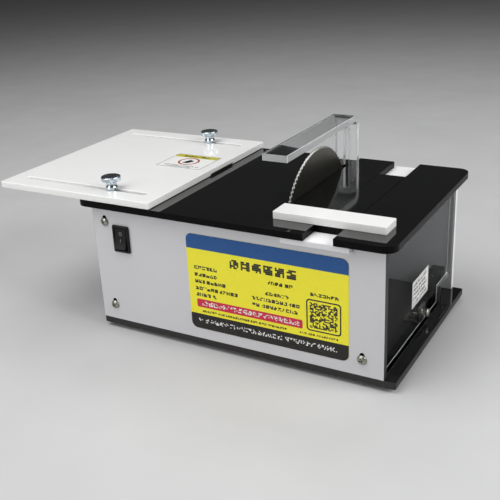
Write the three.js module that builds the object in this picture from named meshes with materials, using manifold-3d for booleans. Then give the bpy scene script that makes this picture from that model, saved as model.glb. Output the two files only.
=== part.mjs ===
// Small bench saw with an acrylic case: a 110 mm blade stands up through the table, a fence plate
// slides across the left half, and a push bar runs front to back on the right.
// Millimetres, +X along the case, +Y to the back, +Z up.
// Every dimension is first laid out from the case's front, left, bottom corner. The finished
// machine is then moved so that its origin is the centre of its footprint, where it stands.

import * as THREE from 'three';
import { mergeVertices } from 'three/addons/utils/BufferGeometryUtils.js';
import Module from 'manifold-3d';

const wasm = await Module();
wasm.setup();

// ---- Driving dimensions ------------------------------------------------------------------

const SHEET = 5; // every acrylic part but the slide bed is cut from 5 mm sheet
const RUNNING_GAP = 0.3; // between parts that slide past each other
const FIT = 0.2; // between a part and the opening it drops into
const TOUCH = 0.05; // between two faces that are clamped together
const OVER = 1; // how far a cutting tool runs past the faces it cuts

const CASE = { length: 230, depth: 157, panelHeight: 92.5 };
const BASE = { rightLip: 8, cornerRadius: 1 };
const PANEL_BOTTOM = SHEET;
const PANEL_TOP = PANEL_BOTTOM + CASE.panelHeight;
const TABLE_TOP = PANEL_TOP + SHEET;
const TABLE = { overhangLeft: 10, overhangRight: 7.5, overhangY: 6.5, cornerRadius: 9 };
const INNER_FRONT = SHEET;
const INNER_BACK = CASE.depth - SHEET;

const FOOT = { radius: 7, height: 3, inset: 16, chamfer: 0.8 };

// Sliding push bar: a strip runs in a groove between the two halves of the table
const GROOVE = { left: 176.5, right: 197.5 };
const BED = { left: 160, right: 208, front: -5.5, back: 168, thickness: 4 };
const STRIP = { front: 11.6, back: 128.5 };
const PUSH_BAR = { left: 146.2, right: 226, front: 11.2, back: 29.2 };

// Fence plate and the two thumbscrews that clamp it through its slots
const FENCE = { left: -83.5, right: 57.5, front: -7, back: 165, gap: 0.4, cornerRadius: 1.5 };
const FENCE_SLOT = { left: -71, right: 45, width: 4.4 };
const THUMBSCREW = { x: 13.5, frontY: 9.5, backY: 147.8, shankRadius: 1.95, lift: 0.25 };
const THUMB_HEAD = { radius: 7.3, height: 3.6, neckRadius: 3.8, total: 10 };
const THUMB_FOOT = { radius: 4.4, height: 2.2, top: 3.5 };
const FENCE_REBATE = { front: 77, back: 111, depth: 7, height: 1.5 };

// Blade, arbor and motor share one axis, parallel to X
const BLADE = { x: 143.6, y: 87.7, z: 75.3, radius: 55, thickness: 1.2, bore: 10.2 };
const TEETH = { count: 100, depth: 1.7, gullet: 0.3 };
const KERF = { front: 33, back: 142.5, halfWidth: 1.7 };
const MOTOR = { faceX: 112, radius: 21, canLength: 58, totalLength: 66.7, wall: 1.8, faceThickness: 3 };
const MOTOR_BOSS = { radius: 8.7, height: 4.5 };
const MOTOR_CAP = { bearingRadius: 8, bearingHeight: 4, faceRadius: 17, plugRadius: 19, tabY: 12 };
const MOTOR_SCREW = { offset: 14.5, headRadius: 3.6, shankRadius: 1.85, length: 7.5, hole: 1.98 };
const ROTOR = { start: 62, coreStart: 68, end: 104, commutatorRadius: 8, coreRadius: 15 };
const SHAFT = { radius: 2.45, reach: 17 };
const ARBOR = { start: 119, bodyRadius: 7, flangeStart: 138, flangeRadius: 12.5, end: 156.5 };
const THREAD_RADIUS = 3.9;
const OUTER_FLANGE = { thickness: 3, chamfer: 2 };

// Clear guard: an upright behind the case, bent forward over the blade
const GUARD = { left: 127.6, right: 146.9, front: 34, armBottom: 134.6, uprightBottom: 50, bend: 3.5 };
const GUARD_SLOT = { bottom: 58, top: 128.3, width: 4.3 };
const GUARD_SCREW_Z = { upper: 88, lower: 74 };

// Case hardware
const SCREW_M3 = { headRadius: 3.4, headHeight: 2, shankRadius: 1.45, length: 11 };
const SCREW_M4 = { headRadius: 3.9, headHeight: 2.6, shankRadius: 1.9, length: 17 };
const HOLE_M3 = 1.65;
const PANEL_SLOT_RISE = 3.3; // the panels' screw holes run on upwards, showing above the heads
const HOLE_M4 = 2.2;
const PANEL_SCREWS = {
  top_left: [11, 85.2],
  bottom_left: [12, 17.3],
  bottom_right: [214.7, 17.3],
};
const CORNER_BLOCK = { width: 10, depth: 9, height: 19, topHalfHeight: 6, rightShift: 2.5 };
const SWITCH = { x: 25.4, z: 73.6, width: 14.4, height: 21, bezel: 1.8, rim: 1.1, depth: 15, wellDepth: 9 };
const JACK = { x: 44, z: 26, radius: 3.9, flangeRadius: 6, depth: 13 };
const BRACKET = { y: 92, width: 14, leg: 12, thickness: 1.5 };
const COVER = { gap: 1, cutFront: 125.6, cutTop: 19 };
const HEX_M4 = { acrossFlats: 7, height: 3.2, bore: 2.15 };
const HEX_M8 = { acrossFlats: 13, height: 6 };
const HEX_JACK = { acrossFlats: 10.5, height: 2 };

// Printed films, 0.3 mm thick
const LABEL_THICKNESS = 0.3;
const FRONT_LABEL = { left: 82.5, right: 205.5, bottom: 13.5, top: 87.5, cornerRadius: 5 };
const FENCE_LABEL = { left: 8, right: 50, front: 72, back: 108 };
const COVER_LABEL = { front: 56, back: 91, bottom: 31, top: 51 };

const GUARD_X = (GUARD.left + GUARD.right) / 2;
const UPRIGHT_FRONT = CASE.depth + FIT;
const UPRIGHT_BACK = UPRIGHT_FRONT + SHEET;
const FENCE_BOTTOM = TABLE_TOP + FENCE.gap;
const FENCE_TOP = FENCE_BOTTOM + SHEET;
const COVER_OUTER = CASE.length - COVER.gap;
const COVER_INNER = COVER_OUTER - SHEET;

// ---- Finishes ----------------------------------------------------------------------------

function finish(color, roughness, metalness = 0, opacity = 1) {
  return { color, roughness, metalness, opacity, transparent: opacity < 1 };
}
const WHITE_ACRYLIC = finish(0xe9eaec, 0.22);
const BLACK_ACRYLIC = finish(0x0b0b0c, 0.12);
const CLEAR_ACRYLIC = finish(0xdfe8e8, 0.05, 0, 0.3);
const BLADE_STEEL = finish(0x9a978c, 0.25, 1);
const ZINC = finish(0xa9b3bb, 0.32, 1);
const BLACK_PLASTIC = finish(0x141416, 0.45);
const RUBBER = finish(0x1b1b1c, 0.8);
const LABEL_YELLOW = finish(0xe6dd3f, 0.4);
const LABEL_WHITE = finish(0xf2f0e6, 0.4);
const WIRE_RED = finish(0xb01818, 0.5);
const WIRE_BLACK = finish(0x151515, 0.5);

// ---- Solid helpers -----------------------------------------------------------------------

function toSolid(geometry) {
  const plain = geometry.clone();
  plain.deleteAttribute('normal');
  plain.deleteAttribute('uv');
  const merged = mergeVertices(plain, 1e-4);
  return new wasm.Manifold(new wasm.Mesh({
    numProp: 3,
    vertProperties: new Float32Array(merged.attributes.position.array),
    triVerts: new Uint32Array(merged.index.array),
  }));
}

function toGeometry(solid) {
  const mesh = solid.getMesh();
  const geometry = new THREE.BufferGeometry();
  geometry.setAttribute('position', new THREE.BufferAttribute(mesh.vertProperties, 3));
  geometry.setIndex(new THREE.BufferAttribute(mesh.triVerts, 1));
  geometry.computeVertexNormals();
  return geometry;
}

function cut(body, ...tools) {
  return toGeometry(tools.reduce((solid, tool) => solid.subtract(toSolid(tool)), toSolid(body)));
}

function join(body, ...others) {
  return toGeometry(others.reduce((solid, other) => solid.add(toSolid(other)), toSolid(body)));
}

function block(x0, x1, y0, y1, z0, z1) {
  const geometry = new THREE.BoxGeometry(x1 - x0, y1 - y0, z1 - z0);
  return geometry.translate((x0 + x1) / 2, (y0 + y1) / 2, (z0 + z1) / 2);
}

// A closed outline in the XY plane, with each corner [x, y, radius] rounded
function outline(corners) {
  const shape = new THREE.Shape();
  corners.forEach(([x, y, radius], i) => {
    const here = new THREE.Vector2(x, y);
    const before = new THREE.Vector2(...corners.at(i - 1));
    const after = new THREE.Vector2(...corners[(i + 1) % corners.length]);
    const start = before.sub(here).setLength(radius).add(here);
    const end = after.sub(here).setLength(radius).add(here);
    if (i === 0) shape.moveTo(start.x, start.y);
    else shape.lineTo(start.x, start.y);
    if (radius > 0) shape.quadraticCurveTo(x, y, end.x, end.y);
  });
  return shape;
}

function extrude(shape, z0, z1, curveSegments = 6) {
  const geometry = new THREE.ExtrudeGeometry(shape, {
    depth: z1 - z0, bevelEnabled: false, curveSegments,
  });
  return geometry.translate(0, 0, z0);
}

function plate(x0, x1, y0, y1, z0, z1, [frontLeft, frontRight, backRight, backLeft]) {
  const corners = [[x0, y0, frontLeft], [x1, y0, frontRight], [x1, y1, backRight], [x0, y1, backLeft]];
  return extrude(outline(corners), z0, z1);
}

// A cylinder along 'x', 'y' or 'z' from one end to the other, at the two other coordinates
function rod(axis, radius, from, to, a, b, sides = 16) {
  const geometry = new THREE.CylinderGeometry(radius, radius, to - from, sides);
  const middle = (from + to) / 2;
  if (axis === 'x') return geometry.rotateZ(-Math.PI / 2).translate(middle, a, b);
  if (axis === 'y') return geometry.translate(a, middle, b);
  return geometry.rotateX(Math.PI / 2).translate(a, b, middle);
}

// A solid turned about the X axis from [x, radius] points, starting and ending on the axis
function turned(points, sides = 24) {
  const profile = points.map(([x, radius]) => new THREE.Vector2(radius, x));
  return new THREE.LatheGeometry(profile, sides).rotateZ(-Math.PI / 2);
}

// A turned ring whose [x, radius] points close on themselves
function turnedRing(points, sides = 24) {
  return turned([...points, points[0]], sides);
}

function hexPrism(acrossFlats, z0, z1, boreRadius) {
  const corner = acrossFlats / Math.sqrt(3);
  const nut = new THREE.CylinderGeometry(corner, corner, z1 - z0, 6).rotateX(Math.PI / 2);
  return cut(nut.translate(0, 0, (z0 + z1) / 2), rod('z', boreRadius, z0 - 1, z1 + 1, 0, 0, 16));
}

// ---- Scene helpers -----------------------------------------------------------------------

const machine = new THREE.Group();

function add(name, geometry, look, parent = machine) {
  const mesh = new THREE.Mesh(geometry, new THREE.MeshStandardMaterial(look));
  mesh.name = name;
  parent.add(mesh);
  return mesh;
}

function groupAt(x, y, z) {
  const group = new THREE.Group();
  group.position.set(x, y, z);
  machine.add(group);
  return group;
}

// ---- Case --------------------------------------------------------------------------------

function basePlate() {
  const r = BASE.cornerRadius;
  const right = CASE.length + BASE.rightLip;
  const sheet = plate(0, right, 0, CASE.depth, 0, SHEET, [r, r, r, r]);
  const bracketHole = rod('z', HOLE_M3, -OVER, SHEET + OVER, COVER_INNER - BRACKET.leg / 2 - 1, BRACKET.y);
  return cut(sheet, bracketHole);
}

function bedSlot() {
  const side = RUNNING_GAP;
  return block(
    BED.left - side, BED.right + side, -OVER, CASE.depth + OVER,
    PANEL_TOP - BED.thickness - 0.1, PANEL_TOP + OVER,
  );
}

function panelScrewSlots(y0, y1) {
  return Object.values(PANEL_SCREWS).flatMap(([x, z]) => [
    rod('y', HOLE_M3, y0, y1, x, z, 16),
    rod('y', HOLE_M3, y0, y1, x, z + PANEL_SLOT_RISE, 16),
    block(x - HOLE_M3, x + HOLE_M3, y0, y1, z, z + PANEL_SLOT_RISE),
  ]);
}

function switchOpening() {
  const halfWidth = SWITCH.width / 2 - SWITCH.rim + FIT;
  const halfHeight = SWITCH.height / 2 - SWITCH.rim + FIT;
  return block(
    SWITCH.x - halfWidth, SWITCH.x + halfWidth, -OVER, SHEET + OVER,
    SWITCH.z - halfHeight, SWITCH.z + halfHeight,
  );
}

function frontPanel() {
  const sheet = block(0, CASE.length, 0, SHEET, PANEL_BOTTOM, PANEL_TOP);
  return cut(sheet, bedSlot(), switchOpening(), ...panelScrewSlots(-OVER, SHEET + OVER));
}

function rearPanel() {
  const sheet = block(0, CASE.length, INNER_BACK, CASE.depth, PANEL_BOTTOM, PANEL_TOP);
  const y0 = INNER_BACK - OVER;
  const y1 = CASE.depth + OVER;
  const jackHole = rod('y', JACK.radius + FIT, y0, y1, JACK.x, JACK.z, 24);
  const guardHoles = Object.values(GUARD_SCREW_Z).map((z) => rod('y', HOLE_M4, y0, y1, GUARD_X, z, 16));
  return cut(sheet, bedSlot(), jackHole, ...guardHoles, ...panelScrewSlots(y0, y1));
}

function leftPanel() {
  return block(0, SHEET, INNER_FRONT, INNER_BACK, PANEL_BOTTOM, PANEL_TOP);
}

// The clear side stops short of the lower back corner, where a lead or a dust hose can pass
function rightCover() {
  const x0 = COVER_INNER - OVER;
  const x1 = COVER_OUTER + OVER;
  const back = INNER_BACK - FIT;
  const sheet = block(COVER_INNER, COVER_OUTER, INNER_FRONT + FIT, back, PANEL_BOTTOM, PANEL_TOP - FIT);
  const corner = block(x0, x1, COVER.cutFront, back + OVER, PANEL_BOTTOM - OVER, COVER.cutTop);
  return cut(sheet, corner, rod('x', HOLE_M3, x0, x1, BRACKET.y, bracketScrewZ(), 16));
}

function motorWall() {
  const x0 = MOTOR.faceX;
  const x1 = MOTOR.faceX + SHEET;
  const sheet = block(x0, x1, INNER_FRONT + FIT, INNER_BACK - FIT, PANEL_BOTTOM, PANEL_TOP - FIT);
  const bossHole = rod('x', MOTOR_BOSS.radius + 0.3, x0 - OVER, x1 + OVER, BLADE.y, BLADE.z, 32);
  const screwHoles = motorScrewYs().map((y) => rod('x', HOLE_M4, x0 - OVER, x1 + OVER, y, BLADE.z, 16));
  return cut(sheet, bossHole, ...screwHoles);
}

// A moulded block in a corner of the case that takes one panel screw
function cornerBlock(centreX, z0, z1, yPanel, inward, [screwX, screwZ]) {
  const half = CORNER_BLOCK.width / 2;
  const yEnd = yPanel + inward * CORNER_BLOCK.depth;
  const y0 = Math.min(yPanel, yEnd);
  const y1 = Math.max(yPanel, yEnd);
  const body = block(centreX - half, centreX + half, y0, y1, z0, z1);
  return cut(body, rod('y', HOLE_M3, y0 - OVER, y1 + OVER, screwX, screwZ, 16));
}

// A pan head screw pointing down, with the underside of its head on z = 0
function panHeadScrew({ headRadius, headHeight, shankRadius, length }) {
  const profile = [
    [-length, 0], [-length, shankRadius], [0, shankRadius],
    [0, headRadius], [headHeight * 0.5, headRadius], [headHeight, headRadius * 0.6], [headHeight, 0],
  ];
  return turned(profile, 16).rotateY(-Math.PI / 2);
}

function addCase() {
  add('base_plate', basePlate(), BLACK_ACRYLIC);
  add('front_panel', frontPanel(), WHITE_ACRYLIC);
  add('rear_panel', rearPanel(), WHITE_ACRYLIC);
  add('left_panel', leftPanel(), WHITE_ACRYLIC);
  add('right_cover', rightCover(), CLEAR_ACRYLIC);
  add('motor_wall', motorWall(), WHITE_ACRYLIC);
  addCornerHardware();
  addCoverBracket();
  addFeet();
}

function addCornerHardware() {
  for (const [corner, [x, z]] of Object.entries(PANEL_SCREWS)) {
    const atTop = corner.startsWith('top');
    const z0 = atTop ? z - CORNER_BLOCK.topHalfHeight : PANEL_BOTTOM;
    const z1 = atTop ? z + CORNER_BLOCK.topHalfHeight : PANEL_BOTTOM + CORNER_BLOCK.height;
    const centreX = corner.endsWith('right') ? x + CORNER_BLOCK.rightShift : x;
    for (const [side, yPanel, inward] of [['front', INNER_FRONT, 1], ['rear', INNER_BACK, -1]]) {
      add(`${side}_block_${corner}`, cornerBlock(centreX, z0, z1, yPanel, inward, [x, z]), BLACK_PLASTIC);
      const screw = add(`${side}_screw_${corner}`, panHeadScrew(SCREW_M3), ZINC);
      screw.position.set(x, side === 'front' ? -TOUCH : CASE.depth + TOUCH, z);
      screw.rotation.x = inward * Math.PI / 2;
    }
  }
}

function bracketScrewZ() {
  return PANEL_BOTTOM + BRACKET.leg / 2 + 1;
}

function addCoverBracket() {
  const { y, width, leg, thickness } = BRACKET;
  const x1 = COVER_INNER - TOUCH;
  const z0 = PANEL_BOTTOM + TOUCH;
  const screwX = x1 - leg / 2 - 1;
  const foot = block(x1 - leg, x1, y - width / 2, y + width / 2, z0, z0 + thickness);
  const wall = block(x1 - thickness, x1, y - width / 2, y + width / 2, z0, z0 + leg);
  const footHole = rod('z', HOLE_M3, z0 - OVER, z0 + thickness + OVER, screwX, y, 16);
  const wallHole = rod('x', HOLE_M3, x1 - thickness - OVER, x1 + OVER, y, bracketScrewZ(), 16);
  add('cover_bracket', cut(join(foot, wall), footHole, wallHole), ZINC);
  const shortScrew = { ...SCREW_M3, length: 6 };
  const footScrew = add('bracket_screw', panHeadScrew(shortScrew), ZINC);
  footScrew.position.set(screwX, y, z0 + thickness + TOUCH);
  const coverScrew = add('cover_screw', panHeadScrew({ ...SCREW_M3, length: 9 }), ZINC);
  coverScrew.position.set(COVER_OUTER + TOUCH, y, bracketScrewZ());
  coverScrew.rotation.y = Math.PI / 2;
}

function addFeet() {
  const right = CASE.length + BASE.rightLip - FOOT.inset;
  const back = CASE.depth - FOOT.inset;
  const places = {
    front_left_foot: [FOOT.inset, FOOT.inset],
    front_right_foot: [right, FOOT.inset],
    rear_left_foot: [FOOT.inset, back],
    rear_right_foot: [right, back],
  };
  for (const [name, [x, y]] of Object.entries(places)) {
    const profile = [
      [-FOOT.height, 0], [-FOOT.height, FOOT.radius - FOOT.chamfer],
      [-FOOT.height + FOOT.chamfer, FOOT.radius],
      [0, FOOT.radius], [0, 0],
    ];
    add(name, turned(profile, 20).rotateY(-Math.PI / 2), RUBBER).position.set(x, y, 0);
  }
}

// ---- Table and push bar ------------------------------------------------------------------

function tableHalf(x0, x1, radii) {
  return plate(x0, x1, -TABLE.overhangY, CASE.depth + TABLE.overhangY, PANEL_TOP, TABLE_TOP, radii);
}

function tableLeft() {
  const r = TABLE.cornerRadius;
  const half = tableHalf(-TABLE.overhangLeft, GROOVE.left, [r, 0, 0, r]);
  const kerf = block(
    BLADE.x - KERF.halfWidth, BLADE.x + KERF.halfWidth, KERF.front, KERF.back,
    PANEL_TOP - OVER, TABLE_TOP + OVER,
  );
  const uprightNotch = block(
    GUARD.left - 0.5, GUARD.right + 0.5, CASE.depth - 0.3, CASE.depth + 20,
    PANEL_TOP - OVER, TABLE_TOP + OVER,
  );
  const screwHoles = [THUMBSCREW.frontY, THUMBSCREW.backY].map(
    (y) => rod('z', HOLE_M4 + 0.1, PANEL_TOP - OVER, TABLE_TOP + OVER, THUMBSCREW.x, y, 16),
  );
  return cut(half, kerf, uprightNotch, ...screwHoles);
}

function tableRight() {
  const r = TABLE.cornerRadius;
  return tableHalf(GROOVE.right, CASE.length + TABLE.overhangRight, [0, r, r, 0]);
}

function slideBed() {
  return block(BED.left, BED.right, BED.front, BED.back, PANEL_TOP - BED.thickness, PANEL_TOP);
}

function addTable() {
  add('table_left', tableLeft(), BLACK_ACRYLIC);
  add('table_right', tableRight(), BLACK_ACRYLIC);
  add('slide_bed', slideBed(), WHITE_ACRYLIC);
}

function addPushBar() {
  const g = RUNNING_GAP;
  const strip = block(
    GROOVE.left + g, GROOVE.right - g, STRIP.front, STRIP.back, PANEL_TOP + g, TABLE_TOP + g,
  );
  add('slide_strip', strip, BLACK_ACRYLIC);
  const { left, right, front, back } = PUSH_BAR;
  const bar = plate(left, right, front, back, TABLE_TOP + g, TABLE_TOP + g + SHEET, [1, 1, 1, 1]);
  add('push_bar', bar, WHITE_ACRYLIC);
}

// ---- Fence -------------------------------------------------------------------------------

function fencePlate() {
  const r = FENCE.cornerRadius;
  const sheet = plate(
    FENCE.left, FENCE.right, FENCE.front, FENCE.back, FENCE_BOTTOM, FENCE_TOP, [r, r, r, r],
  );
  const half = FENCE_SLOT.width / 2;
  const x0 = FENCE_SLOT.left + half;
  const x1 = FENCE_SLOT.right - half;
  const z0 = FENCE_BOTTOM - OVER;
  const z1 = FENCE_TOP + OVER;
  const slots = [THUMBSCREW.frontY, THUMBSCREW.backY].map((y) => join(
    block(x0, x1, y - half, y + half, z0, z1),
    rod('z', half, z0, z1, x0, y, 16),
    rod('z', half, z0, z1, x1, y, 16),
  ));
  const rebate = block(
    FENCE.right - FENCE_REBATE.depth, FENCE.right + OVER, FENCE_REBATE.front, FENCE_REBATE.back,
    z0, FENCE_BOTTOM + FENCE_REBATE.height,
  );
  return cut(sheet, ...slots, rebate);
}

// Turned thumbscrew, standing on z = 0 with its shank below
function thumbscrew() {
  const { radius, height, neckRadius, total } = THUMB_HEAD;
  const shankLength = FENCE_TOP - PANEL_TOP + SHEET + 1;
  const headBottom = total - height;
  const chamfer = 0.6;
  const profile = [
    [-shankLength, 0], [-shankLength, THUMBSCREW.shankRadius], [0, THUMBSCREW.shankRadius],
    [0, THUMB_FOOT.radius], [THUMB_FOOT.height, THUMB_FOOT.radius], [THUMB_FOOT.top, neckRadius],
    [headBottom - chamfer, neckRadius], [headBottom, radius - chamfer], [headBottom + chamfer, radius],
    [total - chamfer, radius], [total, radius - chamfer], [total, 0],
  ];
  return turned(profile, 24).rotateY(-Math.PI / 2);
}

function addFence() {
  add('fence_plate', fencePlate(), WHITE_ACRYLIC);
  for (const [side, y] of [['front', THUMBSCREW.frontY], ['rear', THUMBSCREW.backY]]) {
    const place = groupAt(THUMBSCREW.x, y, 0);
    const screw = add(`${side}_thumbscrew`, thumbscrew(), ZINC, place);
    screw.position.z = FENCE_TOP + THUMBSCREW.lift;
    const nut = hexPrism(HEX_M4.acrossFlats, -HEX_M4.height, 0, HEX_M4.bore);
    add(`${side}_fence_nut`, nut, ZINC, place).position.z = PANEL_TOP - FIT;
  }
}

// ---- Guard -------------------------------------------------------------------------------

function addGuard() {
  const top = GUARD.armBottom + SHEET;
  const inner = GUARD.bend;
  const outer = GUARD.bend + SHEET;
  const profile = new THREE.Shape();
  profile.moveTo(GUARD.front, GUARD.armBottom);
  profile.lineTo(UPRIGHT_FRONT - inner, GUARD.armBottom);
  profile.absarc(UPRIGHT_FRONT - inner, GUARD.armBottom - inner, inner, Math.PI / 2, 0, true);
  profile.lineTo(UPRIGHT_FRONT, GUARD.uprightBottom);
  profile.lineTo(UPRIGHT_BACK, GUARD.uprightBottom);
  profile.lineTo(UPRIGHT_BACK, top - outer);
  profile.absarc(UPRIGHT_BACK - outer, top - outer, outer, 0, Math.PI / 2, false);
  profile.lineTo(GUARD.front, top);
  const strip = extrude(profile, GUARD.left, GUARD.right, 8);
  // Stand the side profile up: its x becomes Y, its y becomes Z and its depth becomes X
  strip.applyMatrix4(new THREE.Matrix4().makeBasis(
    new THREE.Vector3(0, 1, 0), new THREE.Vector3(0, 0, 1), new THREE.Vector3(1, 0, 0),
  ));
  const half = GUARD_SLOT.width / 2;
  const y0 = CASE.depth - OVER;
  const y1 = UPRIGHT_BACK + OVER;
  const slot = join(
    block(GUARD_X - half, GUARD_X + half, y0, y1, GUARD_SLOT.bottom + half, GUARD_SLOT.top - half),
    rod('y', half, y0, y1, GUARD_X, GUARD_SLOT.bottom + half, 16),
    rod('y', half, y0, y1, GUARD_X, GUARD_SLOT.top - half, 16),
  );
  add('blade_guard', cut(strip, slot), CLEAR_ACRYLIC);
  for (const [level, z] of Object.entries(GUARD_SCREW_Z)) {
    const screw = add(`guard_screw_${level}`, panHeadScrew(SCREW_M4), ZINC);
    screw.position.set(GUARD_X, UPRIGHT_BACK + RUNNING_GAP, z);
    screw.rotation.x = -Math.PI / 2;
    const nut = add(`guard_nut_${level}`, hexPrism(HEX_M4.acrossFlats, 0, HEX_M4.height, HEX_M4.bore), ZINC);
    nut.position.set(GUARD_X, INNER_BACK - 2 * TOUCH, z);
    nut.rotation.x = Math.PI / 2;
  }
}

// ---- Blade, arbor and motor, turned about one axis ----------------------------------------

function sawBlade() {
  const shape = new THREE.Shape();
  const root = BLADE.radius - TEETH.depth;
  const pitch = 2 * Math.PI / TEETH.count;
  for (let i = 0; i < TEETH.count; i += 1) {
    const start = i * pitch;
    const gullet = start + TEETH.gullet * pitch;
    const tip = [BLADE.radius * Math.cos(start), BLADE.radius * Math.sin(start)];
    if (i === 0) shape.moveTo(...tip);
    else shape.lineTo(...tip);
    shape.lineTo(root * Math.cos(gullet), root * Math.sin(gullet));
  }
  const bore = new THREE.Path();
  bore.absarc(0, 0, BLADE.bore, 0, 2 * Math.PI, true);
  shape.holes.push(bore);
  const disc = extrude(shape, -BLADE.thickness / 2, BLADE.thickness / 2, 24);
  return disc.rotateY(Math.PI / 2);
}

// How far a place along the case is from the blade's middle plane
function fromBlade(x) {
  return x - BLADE.x;
}

// The arbor slips over the motor shaft, carries the blade on its shoulder and ends in a thread
function arborHub() {
  const bore = SHAFT.radius + 0.1;
  const spigot = BLADE.bore - 0.15;
  const start = fromBlade(ARBOR.start);
  const flange = fromBlade(ARBOR.flangeStart);
  const shoulder = -BLADE.thickness / 2 - TOUCH;
  const spigotEnd = BLADE.thickness / 2 - 2 * TOUCH;
  const end = fromBlade(ARBOR.end);
  const boreEnd = fromBlade(MOTOR.faceX + SHAFT.reach + 1);
  return turnedRing([
    [start, bore], [start, ARBOR.bodyRadius], [flange, ARBOR.bodyRadius], [flange, ARBOR.flangeRadius],
    [shoulder, ARBOR.flangeRadius], [shoulder, spigot], [spigotEnd, spigot],
    [spigotEnd, THREAD_RADIUS], [end - 1, THREAD_RADIUS], [end, THREAD_RADIUS - 0.9],
    [end, 0], [boreEnd, 0], [boreEnd, bore],
  ]);
}

function outerFlange() {
  const { thickness, chamfer } = OUTER_FLANGE;
  const x0 = BLADE.thickness / 2 + TOUCH;
  const bore = THREAD_RADIUS + 0.15;
  return turnedRing([
    [x0, bore], [x0, ARBOR.flangeRadius], [x0 + thickness - 1, ARBOR.flangeRadius],
    [x0 + thickness, ARBOR.flangeRadius - chamfer], [x0 + thickness, bore],
  ]);
}

function motorCan() {
  const back = fromBlade(MOTOR.faceX - MOTOR.canLength);
  const face = fromBlade(MOTOR.faceX);
  const insideFace = face - MOTOR.faceThickness;
  const bossEnd = face + MOTOR_BOSS.height;
  const inner = MOTOR.radius - MOTOR.wall;
  const bore = SHAFT.radius + 0.15;
  const rounding = 1.5;
  const can = turnedRing([
    [back, inner], [back, MOTOR.radius], [face - rounding, MOTOR.radius], [face, MOTOR.radius - rounding],
    [face, MOTOR_BOSS.radius], [bossEnd, MOTOR_BOSS.radius], [bossEnd, bore], [insideFace, bore],
    [insideFace, inner],
  ], 28);
  const holes = motorScrewYs().map((y) => rod(
    'x', MOTOR_SCREW.hole, insideFace - OVER, face + OVER, y - BLADE.y, 0, 16,
  ));
  return cut(can, ...holes);
}

// The rear cap plugs the can, holds the rear bearing and carries two terminal tabs
function motorEndCap() {
  const { bearingRadius, bearingHeight, faceRadius, plugRadius, tabY } = MOTOR_CAP;
  const back = fromBlade(MOTOR.faceX - MOTOR.totalLength);
  const rim = fromBlade(MOTOR.faceX - MOTOR.canLength) - 2 * TOUCH;
  const rimRadius = MOTOR.radius - 1;
  const plugEnd = rim + 2.1;
  const shoulder = back + bearingHeight;
  const cap = turned([
    [back, 0], [back, bearingRadius], [shoulder, bearingRadius], [shoulder, faceRadius],
    [shoulder + 1.5, rimRadius], [rim, rimRadius], [rim, plugRadius], [plugEnd, plugRadius], [plugEnd, 0],
  ], 28);
  const bearing = rod('x', SHAFT.radius + FIT, back + 2, plugEnd + OVER, 0, 0, 20);
  const tab = { length: 9, halfWidth: 2.4, halfThickness: 0.4 };
  const tabs = [-tabY, tabY].map((y) => block(
    shoulder + 1 - tab.length, shoulder + 1, y - tab.halfWidth, y + tab.halfWidth,
    -tab.halfThickness, tab.halfThickness,
  ));
  return cut(join(cap, ...tabs), bearing);
}

function motorRotor() {
  const bore = SHAFT.radius + 0.1;
  const start = fromBlade(ROTOR.start);
  const core = fromBlade(ROTOR.coreStart);
  const end = fromBlade(ROTOR.end);
  return turnedRing([
    [start, bore], [start, ROTOR.commutatorRadius], [core, ROTOR.commutatorRadius],
    [core, ROTOR.coreRadius], [end, ROTOR.coreRadius], [end, bore],
  ], 20);
}

function motorScrewYs() {
  return [-1, 1].map((side) => BLADE.y + side * MOTOR_SCREW.offset);
}

function addDrive() {
  const axis = groupAt(BLADE.x, BLADE.y, BLADE.z);
  add('saw_blade', sawBlade(), BLADE_STEEL, axis);
  add('arbor_hub', arborHub(), ZINC, axis);
  add('outer_flange', outerFlange(), ZINC, axis);
  const nutShape = hexPrism(HEX_M8.acrossFlats, 0, HEX_M8.height, THREAD_RADIUS + 0.15);
  const nut = add('arbor_nut', nutShape, ZINC, axis);
  nut.position.x = BLADE.thickness / 2 + OUTER_FLANGE.thickness + 3 * TOUCH;
  nut.rotation.y = Math.PI / 2;
  const shaftStart = fromBlade(MOTOR.faceX - MOTOR.totalLength + 2.5);
  const shaftEnd = fromBlade(MOTOR.faceX + SHAFT.reach);
  const shaft = rod('x', SHAFT.radius, shaftStart, shaftEnd, 0, 0, 20);
  add('motor_shaft', shaft, ZINC, axis);
  add('motor_rotor', motorRotor(), ZINC, axis);
  add('motor_can', motorCan(), ZINC, axis);
  add('motor_end_cap', motorEndCap(), BLACK_PLASTIC, axis);
  for (const [i, y] of motorScrewYs().entries()) {
    const screw = add(`motor_screw_${i + 1}`, panHeadScrew({ ...SCREW_M4, ...MOTOR_SCREW }), ZINC, axis);
    screw.position.set(fromBlade(MOTOR.faceX + SHEET + 2 * TOUCH), y - BLADE.y, 0);
    screw.rotation.y = Math.PI / 2;
  }
}

// ---- Switch, power socket and wiring -------------------------------------------------------

const ROCKER = { halfWidth: 5, halfHeight: 7.8, pivotY: 2.2, tilt: THREE.MathUtils.degToRad(9) };
const ROCKER_FACE = { ends: -5.2, middle: -4.1, back: 3.2, backHalfHeight: 3, shoulder: -2.6 };
const SWITCH_TAB = { spacing: 5, halfWidth: 2.4, halfThickness: 0.4, length: 7 };
const JACK_SOCKET = { radius: 2.9, pinRadius: 1, floor: 4, flangeThickness: 1.4, tabX: 1.8, tabLength: 5 };
const WIRE_RADIUS = 1.1;

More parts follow.
